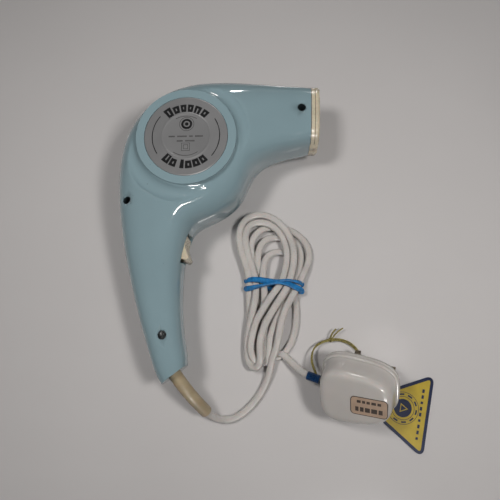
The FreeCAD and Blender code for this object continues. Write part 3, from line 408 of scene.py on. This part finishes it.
def string_olive():
    return finish("string_olive", (0.34, 0.29, 0.10), (0.65, 0.85), 0.45, 900.0, 3200.0, 0.00012,
                  stretch=(1, 1, 3))


# Of the pieces inside the housing and the plug: colour, roughness from and to, and how metallic.
INNER_FINISHES = {
    "steel": ((0.45, 0.45, 0.46), (0.3, 0.45), 0.95),
    "zinc": ((0.50, 0.51, 0.53), (0.4, 0.55), 0.9),
    "bronze": ((0.42, 0.27, 0.13), (0.35, 0.5), 0.9),
    "copper": ((0.50, 0.20, 0.09), (0.25, 0.4), 0.9),
    "brass": ((0.48, 0.36, 0.16), (0.25, 0.4), 0.95),
    "black_plastic": ((0.025, 0.025, 0.026), (0.35, 0.5), 0.0),
    "mica": ((0.50, 0.42, 0.28), (0.3, 0.5), 0.1),
    "resistance_wire": ((0.30, 0.28, 0.26), (0.35, 0.5), 0.9),
    "ceramic": ((0.72, 0.70, 0.64), (0.5, 0.6), 0.0),
    "wire_brown": ((0.16, 0.06, 0.03), (0.35, 0.5), 0.0),
    "wire_blue": ((0.03, 0.08, 0.30), (0.35, 0.5), 0.0),
}


# ---------------------------------------------------------------- making pieces

def keep(piece, slot, *stands_for, body="housing"):
    """The piece rides on a body and stands for its plain solids; the slot is not used."""
    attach(piece, body)
    if stands_for:
        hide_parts(*stands_for)
    return piece


def refinish(node, material):
    """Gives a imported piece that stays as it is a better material."""
    slots = frame["nodes"][node].data.materials
    slots.clear()
    slots.append(material)


def piece_from(mesh_maker, name, finishes, smooth_up_to=35.0):
    """Turns a bmesh in millimetres into an object at the origin."""
    bmesh.ops.scale(mesh_maker, vec=(MM, MM, MM), verts=mesh_maker.verts)
    mesh = bpy.data.meshes.new(name)
    mesh_maker.to_mesh(mesh)
    mesh_maker.free()
    mesh.shade_smooth()
    mesh.set_sharp_from_angle(angle=math.radians(smooth_up_to))
    for material in finishes:
        mesh.materials.append(material)
    piece = bpy.data.objects.new(name, mesh)
    bpy.context.scene.collection.objects.link(piece)
    return piece


def moulded_copy(node, name, material, smooth_up_to=30.0):
    """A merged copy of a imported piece, so that its curved faces shade smoothly."""
    work = bmesh.new()
    work.from_mesh(frame["nodes"][node].data)
    bmesh.ops.remove_doubles(work, verts=work.verts, dist=0.000005)
    bmesh.ops.dissolve_degenerate(work, edges=work.edges, dist=0.000002)
    bmesh.ops.scale(work, vec=(1 / MM, 1 / MM, 1 / MM), verts=work.verts)
    return piece_from(work, name, [material], smooth_up_to)


def turned(mesh_maker, profile, centre, steps=96, start=0.0, sweep=360.0):
    """Spins a profile of (radius, height) pairs about an upright axis."""
    first = math.radians(start)
    verts = []
    for radius, height in profile:
        spot = Vector((radius * math.cos(first), radius * math.sin(first), height))
        verts.append(mesh_maker.verts.new(centre + spot))
    edges = [mesh_maker.edges.new(pair) for pair in zip(verts, verts[1:])]
    full = abs(sweep - 360.0) < 0.01
    bmesh.ops.spin(mesh_maker, geom=verts + edges, cent=centre, axis=(0, 0, 1), dvec=(0, 0, 0),
                   angle=math.radians(sweep), steps=steps, use_merge=full, use_duplicate=False)
    bmesh.ops.remove_doubles(mesh_maker, verts=mesh_maker.verts, dist=0.0005)


def arc_print(mesh_maker, centre, inner, outer, start, sweep, level, rise=PRINT_RISE, steps=24):
    """A thin raised band of print along part of a circle."""
    before = set(mesh_maker.verts)
    turned(mesh_maker, [(inner, level), (inner, level + rise), (outer, level + rise), (outer, level)],
           centre, steps, start, sweep)
    made = [v for v in mesh_maker.verts if v not in before]
    ends = [e for e in mesh_maker.edges if e.is_boundary and e.verts[0] in made]
    bmesh.ops.holes_fill(mesh_maker, edges=ends, sides=4)


def bar_print(mesh_maker, centre, length, width, rise=PRINT_RISE, material=0):
    """A thin raised bar of print."""
    place = Matrix.Translation(centre) @ Matrix.Diagonal((length, width, rise, 1))
    made = bmesh.ops.create_cube(mesh_maker, size=1.0, matrix=place)
    for vert in made["verts"]:
        for face in vert.link_faces:
            face.material_index = material


def in_a_row(lengths, gap):
    """The middle and length of each bar in a row that is centred on nought."""
    across = -(sum(lengths) + gap * (len(lengths) - 1)) / 2
    for length in lengths:
        yield across + length / 2, length
        across += length + gap


def tube_between(mesh_maker, spots, radii, segments=32):
    """A round tube, open at both ends, whose rings follow the spots."""
    rings = []
    for index, (spot, radius) in enumerate(zip(spots, radii)):
        ahead = spots[min(index + 1, len(spots) - 1)] - spots[max(index - 1, 0)]
        turn = ahead.to_track_quat("Z", "Y").to_matrix().to_4x4()
        made = bmesh.ops.create_circle(mesh_maker, segments=segments, radius=radius,
                                       matrix=Matrix.Translation(spot) @ turn)
        rings.append(made["verts"])
    for lower, upper in zip(rings, rings[1:]):
        edges = {e for v in lower for e in v.link_edges if e.other_vert(v) in lower}
        edges |= {e for v in upper for e in v.link_edges if e.other_vert(v) in upper}
        bmesh.ops.bridge_loops(mesh_maker, edges=list(edges))


def line_of(name, points, closed, width, thickness, material, tilts=None, fine=8):
    """One NURBS line by given control points in millimetres; a wide one has a flat-sided section."""
    data = bpy.data.curves.new(name, "CURVE")
    data.dimensions = "3D"
    data.twist_mode = "Z_UP"
    data.fill_mode = "FULL"
    data.resolution_u = fine
    data.bevel_depth = thickness / 2
    data.bevel_resolution = 5
    data.extrude = max(0.0, (width - thickness) / 2)
    data.use_fill_caps = not closed
    spline = data.splines.new("NURBS")
    spline.points.add(len(points) - 1)
    for index, (control, place) in enumerate(zip(spline.points, points)):
        control.co = (*(value * MM for value in place), 1)
        if tilts:
            control.tilt = math.radians(tilts[index])
    spline.use_cyclic_u = closed
    spline.order_u = 3
    spline.use_endpoint_u = not closed
    data.materials.append(material)
    piece = bpy.data.objects.new(name, data)
    bpy.context.scene.collection.objects.link(piece)
    return piece


def centreline(piece):
    """The points along a line's own centre, in metres, read from its spline."""
    bare = piece.data.copy()
    bare.bevel_depth = 0.0
    bare.extrude = 0.0
    holder = bpy.data.objects.new("centreline", bare)
    mesh = bpy.data.meshes.new_from_object(holder)
    places = [v.co.copy() for v in mesh.vertices]
    bpy.data.objects.remove(holder)
    bpy.data.meshes.remove(mesh)
    bpy.data.curves.remove(bare)
    return places


def length_of(places):
    """The length along a row of points."""
    return sum((after - before).length for before, after in zip(places, places[1:]))


def squared(part, power):
    """Pushes a sine or cosine outwards, so that a circle becomes a rounded square."""
    return math.copysign(abs(part) ** power, part)


def plug_place():
    """From the plug's own frame, where its base is flat, to how it lies on its pins."""
    aside = Matrix.Rotation(math.radians(PLUG_LEANS_TO + 90), 3, "Z") @ Vector((1, 0, 0))
    lean = Matrix.Rotation(math.radians(PLUG_LEAN), 4, aside)
    turn = Matrix.Rotation(math.radians(PLUG_TURN), 4, "Z")
    return Matrix.Translation(PLUG_MIDDLE) @ lean @ turn


# ---------------------------------------------------------------- stage

class DRYER_OT_stage(bpy.types.Operator):
    """Make the floor, the soft lights and the camera"""
    bl_idname = "dryer.stage"
    bl_label = "Stage and camera"

    def execute(self, context):
        stage = settings()[3]
        scene = context.scene
        scene.view_settings.view_transform = "Standard"
        camera = bpy.data.cameras.new("camera")
        camera.lens = 34.56
        camera.sensor_width = 36.0
        camera.clip_start = 0.01
        eye = bpy.data.objects.new("camera", camera)
        up = CAMERA_BACK.cross(CAMERA_RIGHT).normalized()
        right = up.cross(CAMERA_BACK)
        facing = Matrix((right, up, CAMERA_BACK)).transposed().to_4x4()
        eye.matrix_world = Matrix.Translation(CAMERA_AT) @ facing
        scene.collection.objects.link(eye)
        scene.camera = eye

        floor = bmesh.new()
        side = stage.floor_size / MM
        bmesh.ops.create_grid(floor, x_segments=4, y_segments=4, size=side / 2)
        paint = finish("floor_white", (0.62, 0.60, 0.595), (0.10, 0.16), 0.97, 6.0, 300.0, 0.000002,
                       coat=0.25)
        piece_from(floor, "floor", [paint])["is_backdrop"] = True

        world = bpy.data.worlds.new("even_light")
        world.use_nodes = True
        background = world.node_tree.nodes["Background"]
        background.inputs["Color"].default_value = (0.93, 0.96, 1.0, 1)
        background.inputs["Strength"].default_value = stage.ambient
        scene.world = world

        scene_middle, housing_middle = (0.04, 0.02, 0), (0, 0, 0.03)
        for name, place, length, width, power in (
                ("key", (0.25, -0.09, 0.56), 0.09, 0.09, stage.key_power),
                ("fill", (-0.15, 0.02, 0.56), 0.10, 0.10, stage.fill_power)):
            self.softbox(name, place, scene_middle, length, width, power, mirrored=False)
        for name, place, length, width, share in (
                ("low_front_strip", (0.20, -1.20, 0.58), 0.45, 0.035, 1.0),
                ("high_front_strip", (0.28, -0.72, 1.25), 0.30, 0.03, 0.6),
                ("back_strip", (0.14, 1.20, 0.50), 0.09, 0.06, 0.25)):
            self.softbox(name, place, housing_middle, length, width, stage.strip_power * share, mirrored=True)
        return {"FINISHED"}

    def softbox(self, name, place, aim, length, width, power, mirrored):
        """A warm white area light: a mirrored one makes only highlights, the others light the surfaces."""
        light = bpy.data.lights.new(name, "AREA")
        light.shape = "RECTANGLE"
        light.size = length
        light.size_y = width
        light.energy = power
        light.color = (1.0, 0.975, 0.95)
        lamp = bpy.data.objects.new(name, light)
        way = Vector(aim) - Vector(place)
        lamp.matrix_world = Matrix.Translation(place) @ way.to_track_quat("-Z", "Y").to_matrix().to_4x4()
        lamp.visible_glossy = mirrored
        lamp.visible_diffuse = not mirrored
        bpy.context.scene.collection.objects.link(lamp)


# ---------------------------------------------------------------- flex, band and string

class DRYER_OT_flex(bpy.types.Operator):
    """Make the flex: down to the table, wound into its hank, and up into the plug"""
    bl_idname = "dryer.flex"
    bl_label = "Flex"

    def execute(self, context):
        flex = settings()[1]
        points = LEAD_POINTS + HANK_POINTS + TAIL_POINTS
        flat_side_down = [90.0] * len(points)
        line = line_of("flex", points, False, flex.width, flex.thickness, flex_white(), flat_side_down)
        keep(line, "flex_white", "cord_lead", "cord_hank", "cord_tail")
        length = length_of(centreline(line))
        [value * MM for value in points[0]]
        return {"FINISHED"}


class DRYER_OT_band(bpy.types.Operator):
    """Make the rubber band, twice round the hank with a twist in it"""
    bl_idname = "dryer.band"
    bl_label = "Rubber band"

    def execute(self, context):
        width, thickness = 0.0044, 0.0020
        one_twist = 360.0 / len(BAND_SHAPE)
        for number, (name, drift) in enumerate(BAND_DRIFTS.items()):
            points = [(across, along, up) for (across, up), along in zip(BAND_SHAPE, drift)]
            tilts = [step * one_twist + number * 70.0 for step in range(len(points))]
            wrap = line_of(name, points, True, width, thickness, band_blue(), tilts, 10)
            stands_for = ("cord_band",) if number == 0 else ()
            keep(wrap, "band_blue", *stands_for)
        return {"FINISHED"}


class DRYER_OT_string(bpy.types.Operator):
    """Make the tag's string: two strands, a knot and its free ends"""
    bl_idname = "dryer.string"
    bl_label = "Tag string"

    def execute(self, context):
        first = self.strand("string_first_strand", STRING_POINTS)
        beside = [
            (x + 0.5, y + (1.1 if index in (3, 4, 5, 6, 7) else 0.7), z + (0.3 if index % 2 else 0.0))
            for index, (x, y, z) in enumerate(STRING_POINTS)
        ]
        second = self.strand("string_second_strand", beside)
        keep(first, "string_olive", "tag_string")
        keep(second, "string_olive")
        knot_points = [
            (-2.2, -0.6, -0.8), (-0.9, 1.7, 0.6), (0.6, 1.5, 1.2), (1.0, -0.6, 0.7), (0.0, -1.3, -0.6),
            (-1.0, 0.2, -1.0), (-0.5, 1.9, 0.3), (0.9, 1.0, 1.3), (1.9, -0.8, 0.2),
        ]
        knot = self.strand("string_knot", [KNOT_AT + Vector(point) for point in knot_points])
        ends = (
            [(-0.4, 0.6, 0.6), (-0.1, 2.6, 1.8), (0.9, 5.0, 2.6), (2.6, 7.4, 2.4), (4.0, 8.4, 2.2)],
            [(0.6, 0.6, 0.6), (1.8, 2.8, 1.6), (4.0, 5.2, 2.2), (6.6, 7.4, 2.0), (9.4, 9.0, 1.4)],
        )
        pieces = [keep(knot, "string_olive")]
        for name, run in zip(("string_short_end", "string_long_end"), ends):
            end = self.strand(name, [KNOT_AT + Vector(point) for point in run])
            pieces.append(keep(end, "string_olive"))
        for strand, others in ((first, pieces), (second, [])):
            places = centreline(strand)
            list(places[0])
            round(length_of(places), 4)
            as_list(others)
        return {"FINISHED"}

    def strand(self, name, points):
        """One round strand of the string."""
        return line_of(name, points, False, 0.0, STRING_THICK, string_olive())


class DRYER_OT_sleeve(bpy.types.Operator):
    """Make the tapered sleeve where the flex leaves the handle, and the tape by the plug"""
    bl_idname = "dryer.sleeve"
    bl_label = "Sleeve and tape"

    def execute(self, context):
        outward = Vector((0.6074, -0.7943, 0))
        start = Vector((-31.1, -105.4, MIDDLE_HEIGHT))
        # Out from the handle, down, and the radius there.
        rings = [
            (-4.0, 0.0, 4.75), (0.5, 0.0, 4.75), (5.0, 0.3, 4.72), (9.5, 0.9, 4.7), (14.0, 2.2, 4.66),
            (18.5, 4.4, 4.62), (23.0, 7.6, 4.58), (27.0, 11.0, 4.54), (30.5, 14.3, 4.5), (33.2, 17.2, 4.46),
        ]
        spots = [start + outward * out - Vector((0, 0, drop)) for out, drop, _ in rings]
        radii = [radius for _, _, radius in rings]
        work = bmesh.new()
        tube_between(work, spots, radii, 40)
        bmesh.ops.recalc_face_normals(work, faces=work.faces)
        sleeve = piece_from(work, "sleeve", [sleeve_tan()], 50)
        wall = sleeve.modifiers.new("wall", "SOLIDIFY")
        wall.thickness = 0.0017
        wall.offset = -1
        lip = sleeve.modifiers.new("lip", "BEVEL")
        lip.width = 0.0003
        lip.segments = 2
        lip.angle_limit = math.radians(50)
        smooth = sleeve.modifiers.new("smooth", "SUBSURF")
        smooth.levels = smooth.render_levels = 1
        keep(sleeve, "sleeve_tan", "cord_sleeve")

        last, before = Vector(TAIL_POINTS[-1]), Vector(TAIL_POINTS[-2])
        way = (before - last).normalized()
        spots = [last + way * step for step in (-0.2, 0.6, 3.0, 6.0, 8.6, 9.4)]
        flat_side_down = [90.0] * len(spots)
        tape = line_of("marker_tape_wrap", spots, False, 0.0064, 0.0046, tape_navy(), flat_side_down)
        keep(tape, "tape_navy", "marker_tape")
        return {"FINISHED"}


# ---------------------------------------------------------------- housing and its trim

class DRYER_OT_shells(bpy.types.Operator):
    """Make the two glossy housing shells"""
    bl_idname = "dryer.shells"
    bl_label = "Housing shells"

    def execute(self, context):
        for node, name in (("badge_side_shell", "upper_housing"), ("intake_side_shell", "lower_housing")):
            keep(moulded_copy(node, name, shell_blue(), 24), "shell_blue", node)
        return {"FINISHED"}


class DRYER_OT_trim(bpy.types.Operator):
    """Make the outlet ring, the intake grille, the rocker and the housing screws"""
    bl_idname = "dryer.trim"
    bl_label = "Trim"

    def execute(self, context):
        for node, name, body in (("outlet_ring", "outlet_trim", "housing"),
                                 ("intake_grille", "intake_cover", "housing"),
                                 ("switch_rocker", "rocker_button", "rocker")):
            keep(moulded_copy(node, name, cream_plastic()), "cream_plastic", node, body=body)
        keep(moulded_copy("housing_screws", "cross_head_screws", dark_steel()), "steel", "housing_screws")
        # Painted shade inside the three screw recesses.
        self.recesses()
        self.seams()
        return {"FINISHED"}

    def recesses(self):
        """Painted shade in the three screw recesses: dark walls from the screw up to the lowest point of each
        rim.
        """
        over_shell, floor, rim_radius, wall_radius, hidden_radius = 90, 43.0, 3.4, 3.04, 2.85
        shell = bmesh.new()
        shell.from_mesh(frame["nodes"]["badge_side_shell"].data)
        tree = BVHTree.FromBMesh(shell)
        shell.free()
        shade_sheet = bmesh.new()
        for across, along in SCREW_SPOTS:
            centre = FAN + Vector((across, along, 0))
            heights = []
            for step in range(12):
                angle = math.radians(step * 30)
                aside = Vector((math.cos(angle), math.sin(angle), 0)) * rim_radius
                above = centre + aside + Vector((0, 0, over_shell))
                spot = tree.ray_cast(above * MM, Vector((0, 0, -1)))[0]
                heights.append(spot.z / MM)
            rim = min(heights) - 0.5
            wall = [
                (wall_radius, rim), (wall_radius, floor), (hidden_radius, floor - 0.3), (hidden_radius, rim),
            ]
            turned(shade_sheet, wall, centre, 40)
        bmesh.ops.recalc_face_normals(shade_sheet, faces=shade_sheet.faces)
        # Painted shade: a near-black blue-grey on these walls stands for the shadow inside each recess.
        dark = finish("recess_painted_shade", (0.035, 0.052, 0.058), (0.3, 0.5), 0.7, 300.0, 1200.0)
        keep(piece_from(shade_sheet, "screw_recess_painted_shade", [dark]), "black_plastic")

    def seams(self):
        """Two fine dark lines round the outlet ring."""
        back, front = (Vector(spot) for spot in MOUTH_ENDS)
        middle, across = FAN + (back + front) / 2, (front - back) / 2
        for name, out in (("outlet_joint_line", 0.25), ("outlet_seam_line", 3.1)):
            points = []
            for step in range(40):
                angle = math.radians(step * 9)
                side, rise = squared(math.cos(angle), 0.588), squared(math.sin(angle), 0.588)
                height = MIDDLE_HEIGHT + MOUTH_HALF_HEIGHT * rise
                points.append(middle + across * side + Vector((out, 0, height)))
            keep(line_of(name, points, True, 0.0, 0.0004, print_black(), None, 4), "black_plastic")


class DRYER_OT_badge(bpy.types.Operator):
    """Make the round satin plate with its embossed ring and plain printed marks"""
    bl_idname = "dryer.badge"
    bl_label = "Badge plate"

    def execute(self, context):
        shell = settings()[0]
        edge = shell.plate_radius / MM
        ring = shell.emboss_radius / MM
        face = PLATE_FACE
        disc = bmesh.new()
        profile = [
            (0.0, face), (ring - 1.1, face), (ring - 0.7, face + 0.1), (ring - 0.35, face + 0.27),
            (ring, face + 0.3), (ring + 0.35, face + 0.27), (ring + 0.7, face + 0.1), (ring + 1.1, face),
            (edge - 0.9, face), (edge - 0.35, face - 0.05), (edge - 0.05, face - 0.3),
            (edge - 0.05, face - 0.9), (0.0, face - 0.9),
        ]
        turned(disc, profile, FAN, 160)
        bmesh.ops.recalc_face_normals(disc, faces=disc.faces)
        keep(piece_from(disc, "round_plate", [satin_aluminium()], 40), "badge_aluminium", "badge_plate")

        marks = bmesh.new()
        for start, sweep in ((141.0, 72.0), (-40.0, 72.0)):
            arc_print(marks, FAN, 23.5, 24.1, start, sweep, face, steps=40)
        # Plain blocks in place of letters: start, sweep, and the radii of the lower and upper edge.
        blocks = (
            (119, 13, 17.6, 25.0), (104, 12, 18.2, 23.8), (90.5, 10.5, 18.2, 23.8), (77, 10.5, 18.2, 23.8),
            (61.5, 12.5, 16.2, 23.8), (46, 12, 18.2, 23.8), (-134, 13, 16.6, 24.4), (-119, 12, 18.8, 24.4),
            (-99.5, 7, 16.6, 24.4), (-90, 12, 18.8, 24.4), (-76, 13, 18.8, 24.4), (-61, 12, 18.8, 24.4),
        )
        for start, sweep, low, high in blocks:
            arc_print(marks, FAN, low, high, start, sweep, face, steps=6)
        seat = FAN + Vector((0.4, 8.8, 0))
        turned(marks, [(0.0, face + PRINT_RISE), (3.9, face + PRINT_RISE), (3.9, face)], seat, 40)
        keep(piece_from(marks, "plate_bold_marks", [print_black()]), "black_plastic")

        fine = bmesh.new()
        turned(fine, [(4.9, face), (4.9, face + FINE_RISE), (5.3, face + FINE_RISE), (5.3, face)], seat, 48)
        for row, lengths in ((-0.5, (4.4, 6.8, 2.6, 5.6)), (-3.9, (4.2, 6.8))):
            for across, length in in_a_row(lengths, 1.6):
                spot = FAN + Vector((across, row, face + FINE_RISE / 2))
                bar_print(fine, spot, length, 1.1, FINE_RISE)
        middle = FAN + Vector((0, -8.4, face + FINE_RISE / 2))
        line = 0.35
        for half in (2.8, 1.5):
            for side in (-1, 1):
                bar_print(fine, middle + Vector((side * half, 0, 0)), line, half * 2 + line, FINE_RISE)
                bar_print(fine, middle + Vector((0, side * half, 0)), half * 2 + line, line, FINE_RISE)
        for start, sweep in ((60, 60), (-125, 70)):
            arc_print(fine, FAN, 14.6, 15.1, start, sweep, face, FINE_RISE, 30)
        keep(piece_from(fine, "plate_fine_marks", [print_grey()]), "steel")
        bare = bmesh.new()
        low_face, high_face = face + PRINT_RISE, face + PRINT_RISE + FINE_RISE
        turned(bare, [(1.3, low_face), (1.3, high_face), (2.3, high_face), (2.3, low_face)], seat, 32)
        for start, sweep, low, high in blocks:
            if sweep > 9:
                arc_print(bare, FAN, low + 2.0, high - 1.8, start + sweep * 0.42, sweep * 0.2, low_face,
                          FINE_RISE, 4)
        keep(piece_from(bare, "plate_mark_ring", [satin_aluminium()]), "badge_aluminium")
        return {"FINISHED"}


# ---------------------------------------------------------------- plug and tag

class DRYER_OT_plug(bpy.types.Operator):
    """Make the plug's base and cover with their grooves, its pins and its label"""
    bl_idname = "dryer.plug"
    bl_label = "Plug"

    def ring(self, work, level, inset):
        """One rounded outline of the plug, narrower towards the earth pin."""
        plug = settings()[2]
        made = bmesh.ops.create_circle(work, segments=72, radius=1.0)["verts"]
        for vert in made:
            across, along = vert.co.x, vert.co.y
            u = squared(across, 0.62) * (plug.length / MM / 2 - inset)
            v = squared(along, 0.62) * (plug.width / MM / 2 - inset)
            narrow = 1 - plug.taper * (u / (plug.length / MM) + 0.5)
            vert.co = (u, v * narrow, level)
        return made

    def stacked(self, name, rows):
        """A closed shape from outlines at rising levels, each set in from the plug's full size."""
        work = bmesh.new()
        rings = [self.ring(work, level, inset) for level, inset in rows]
        for lower, upper in zip(rings, rings[1:]):
            low, high = set(lower), set(upper)
            edges = [e for e in work.edges if set(e.verts) <= low or set(e.verts) <= high]
            bmesh.ops.bridge_loops(work, edges=edges)
        for ring in (rings[0], rings[-1]):
            inside = set(ring)
            loop = [e for e in work.edges if set(e.verts) <= inside]
            cap = bmesh.ops.holes_fill(work, edges=loop, sides=0)["faces"]
            bmesh.ops.inset_region(work, faces=cap, thickness=1.5)
        bmesh.ops.recalc_face_normals(work, faces=work.faces)
        bmesh.ops.transform(work, matrix=plug_place(), verts=work.verts)
        return piece_from(work, name, [plug_white()], 40)

    def execute(self, context):
        base = self.stacked("plug_body", [
            (0.0, 1.6), (0.3, 0.9), (0.9, 0.3), (1.8, 0.05), (3.2, 0.0), (3.35, 0.15), (3.45, 0.5),
            (3.7, 0.5), (3.8, 0.15), (3.95, 0.0), (5.8, 0.1), (6.5, 0.3), (6.85, 0.7), (PLUG_JOINT, 1.4)])
        keep(base, "plug_white", "plug_base")
        cover = self.stacked("plug_lid", [
            (PLUG_JOINT, 1.5), (7.25, 1.2), (7.8, 1.15), (8.6, 1.3), (9.4, 1.7), (12.0, 2.1), (16.0, 2.35),
            (20.0, 2.7), (21.8, 3.05), (23.2, 3.7), (24.2, 4.7), (24.8, 6.1), (PLUG_TOP, 7.8)])
        keep(cover, "plug_white", "plug_cover")
        # The pins take the brass that is darkened as painted shade.
        for name in PLUG_PINS:
            refinish(name, shade_darkened_brass())
        self.label()
        return {"FINISHED"}

    def label(self):
        """The paper label with a brown edge and rows of plain bars in place of its words."""
        middle, length, width = Vector((10.0, -2.5, PLUG_TOP + 0.04)), 24.4, 13.8
        work = bmesh.new()
        made = bmesh.ops.create_grid(work, x_segments=1, y_segments=1, size=0.5)
        for vert in made["verts"]:
            vert.co = middle + Vector((vert.co.x * length, vert.co.y * width, 0))
        bmesh.ops.bevel(work, geom=work.verts[:], offset=2.8, segments=6, profile=0.5, affect="VERTICES",
                        material=-1)
        face = work.faces[:]
        bmesh.ops.extrude_face_region(work, geom=face)
        bmesh.ops.translate(work, vec=(0, 0, 0.16), verts=list({v for f in face for v in f.verts}))
        top = max(work.faces, key=lambda f: f.calc_center_median().z)
        for side in work.faces:
            side.material_index = 1
        bmesh.ops.inset_region(work, faces=[top], thickness=0.5)
        top.material_index = 0
        bmesh.ops.recalc_face_normals(work, faces=work.faces)
        for row, tall, bars in ((-4.9, 3.4, (2.2, 2.4, 3.2, 3.8, 2.6)),
                                (0.9, 2.0, (2.6, 2.0, 2.2, 3.0, 2.4))):
            for across, bar in in_a_row(bars, 0.9):
                spot = Vector((middle.x + across, row, LABEL_FACE + 0.02))
                bar_print(work, spot, bar, tall, 0.06, material=1)
        bmesh.ops.transform(work, matrix=plug_place(), verts=work.verts)
        label = piece_from(work, "plug_rating_label", [label_paper(), label_brown()], 30)
        keep(label, "label_paper", "plug_label")


class DRYER_OT_tag(bpy.types.Operator):
    """Make the three-cornered card tag with its border and plain round mark"""
    bl_idname = "dryer.tag"
    bl_label = "Swing tag"

    def execute(self, context):
        side = settings()[2].tag_side / MM
        tall = side * math.sqrt(3) / 2
        place = Matrix.Translation(TAG_AT) @ Matrix.Rotation(math.radians(TAG_TURN), 4, "Z")
        work = bmesh.new()
        corners = [work.verts.new(spot) for spot in ((0, 0, 0), (tall, -side / 2, 0), (tall, side / 2, 0))]
        work.faces.new(corners)
        bmesh.ops.bevel(work, geom=work.verts[:], offset=7.0, segments=10, profile=0.5, affect="VERTICES",
                        material=-1)
        face = work.faces[:]
        bmesh.ops.extrude_face_region(work, geom=face)
        bmesh.ops.translate(work, vec=(0, 0, TAG_THICK), verts=list({v for f in face for v in f.verts}))
        top = max(work.faces, key=lambda f: f.calc_center_median().z)
        bottom = min(work.faces, key=lambda f: f.calc_center_median().z)
        for part in work.faces:
            part.material_index = 1
        for plane in (top, bottom):
            bmesh.ops.inset_region(work, faces=[plane], thickness=TAG_BORDER)
            plane.material_index = 0
        bmesh.ops.recalc_face_normals(work, faces=work.faces)
        bmesh.ops.transform(work, matrix=place, verts=work.verts)
        keep(piece_from(work, "card_tag", [tag_yellow(), tag_navy()], 30), "tag_card", "swing_tag")

        marks = bmesh.new()
        middle = place.inverted() @ MARK_MIDDLE
        card, ink = TAG_THICK, TAG_THICK + PRINT_RISE
        turned(marks, [(0.0, ink), (6.6, ink), (6.6, card)], middle, 56)
        for inner, outer in ((8.2, 8.55), (11.4, 11.75)):
            turned(marks, [(inner, card), (inner, ink), (outer, ink), (outer, card)], middle, 64)
        for step in range(10):
            arc_print(marks, middle, 9.4, 10.6, 20.0 + step * 36.0, 20.0, card, steps=6)
        for step in range(9):
            spot = Vector((tall - 6.4, -17.5 + step * 4.3, card + 0.03))
            bar_print(marks, spot, 1.7, 2.6 if step % 3 else 1.8)
        bmesh.ops.transform(marks, matrix=place, verts=marks.verts)
        keep(piece_from(marks, "tag_printed_marks", [tag_navy()], 30), "tape_navy")
        gap = bmesh.new()
        turned(gap, [(2.6, ink), (2.6, ink + 0.05), (3.9, ink + 0.05), (3.9, ink)], middle, 3)
        bmesh.ops.transform(gap, matrix=place, verts=gap.verts)
        keep(piece_from(gap, "tag_mark_triangle", [tag_yellow()], 30), "tag_card")
        return {"FINISHED"}


class DRYER_OT_inner_works(bpy.types.Operator):
    """Give the fan, the motor, the heater, the switch and the plug's inside their finishes"""
    bl_idname = "dryer.inner_works"
    bl_label = "Inner works"

    def execute(self, context):
        slots = {part["node"]: part["material_slot"] for part in frame["record"]["subparts"]}
        for name in frame["nodes"]:
            slot = slots[name]
            if name in PLUG_PINS:
                continue
            if slot in INNER_FINISHES:
                colour, rough, metallic = INNER_FINISHES[slot]
                refinish(name, finish("inner_" + slot, colour, rough, 0.8, 180.0, 900.0, 0.00002, metallic))
            elif slot == "flex_white":
                refinish(name, flex_white())
        return {"FINISHED"}


class DRYER_PT_panel(bpy.types.Panel):
    """Lists the pieces that can be built"""
    bl_idname = "DRYER_PT_panel"
    bl_label = "Hair Dryer"
    bl_space_type = "VIEW_3D"
    bl_region_type = "UI"
    bl_category = "Hair Dryer"

    def draw(self, context):
        column = self.layout.column(align=True)
        for operator in OPERATORS:
            column.operator(operator.bl_idname)
        for name in ("dryer_shell", "dryer_flex", "dryer_plug", "dryer_stage"):
            group = getattr(context.scene, name)
            box = self.layout.box()
            for entry in group.bl_rna.properties:
                if entry.identifier not in ("rna_type", "name"):
                    box.prop(group, entry.identifier)


OPERATORS = [
    DRYER_OT_stage, DRYER_OT_sleeve, DRYER_OT_band, DRYER_OT_plug, DRYER_OT_flex, DRYER_OT_string,
    DRYER_OT_tag, DRYER_OT_shells, DRYER_OT_trim, DRYER_OT_badge, DRYER_OT_inner_works,
]
GROUPS = {
    "dryer_shell": DryerShellSettings, "dryer_flex": DryerFlexSettings, "dryer_plug": DryerPlugSettings,
    "dryer_stage": DryerStageSettings,
}


def register():
    for group in GROUPS.values():
        bpy.utils.register_class(group)
    for operator in OPERATORS:
        bpy.utils.register_class(operator)
    bpy.utils.register_class(DRYER_PT_panel)
    for name, group in GROUPS.items():
        setattr(bpy.types.Scene, name, bpy.props.PointerProperty(type=group))


def unregister():
    for name in GROUPS:
        delattr(bpy.types.Scene, name)
    bpy.utils.unregister_class(DRYER_PT_panel)
    for operator in reversed(OPERATORS):
        bpy.utils.unregister_class(operator)
    for group in reversed(list(GROUPS.values())):
        bpy.utils.unregister_class(group)


def main():
    register()
    for operator in OPERATORS:
        family, name = operator.bl_idname.split(".")
        getattr(getattr(bpy.ops, family), name)()
    plain = [[list(corner) for corner in box] for box in (CAD_BOX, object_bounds())]


if __name__ == "__main__":
    main()
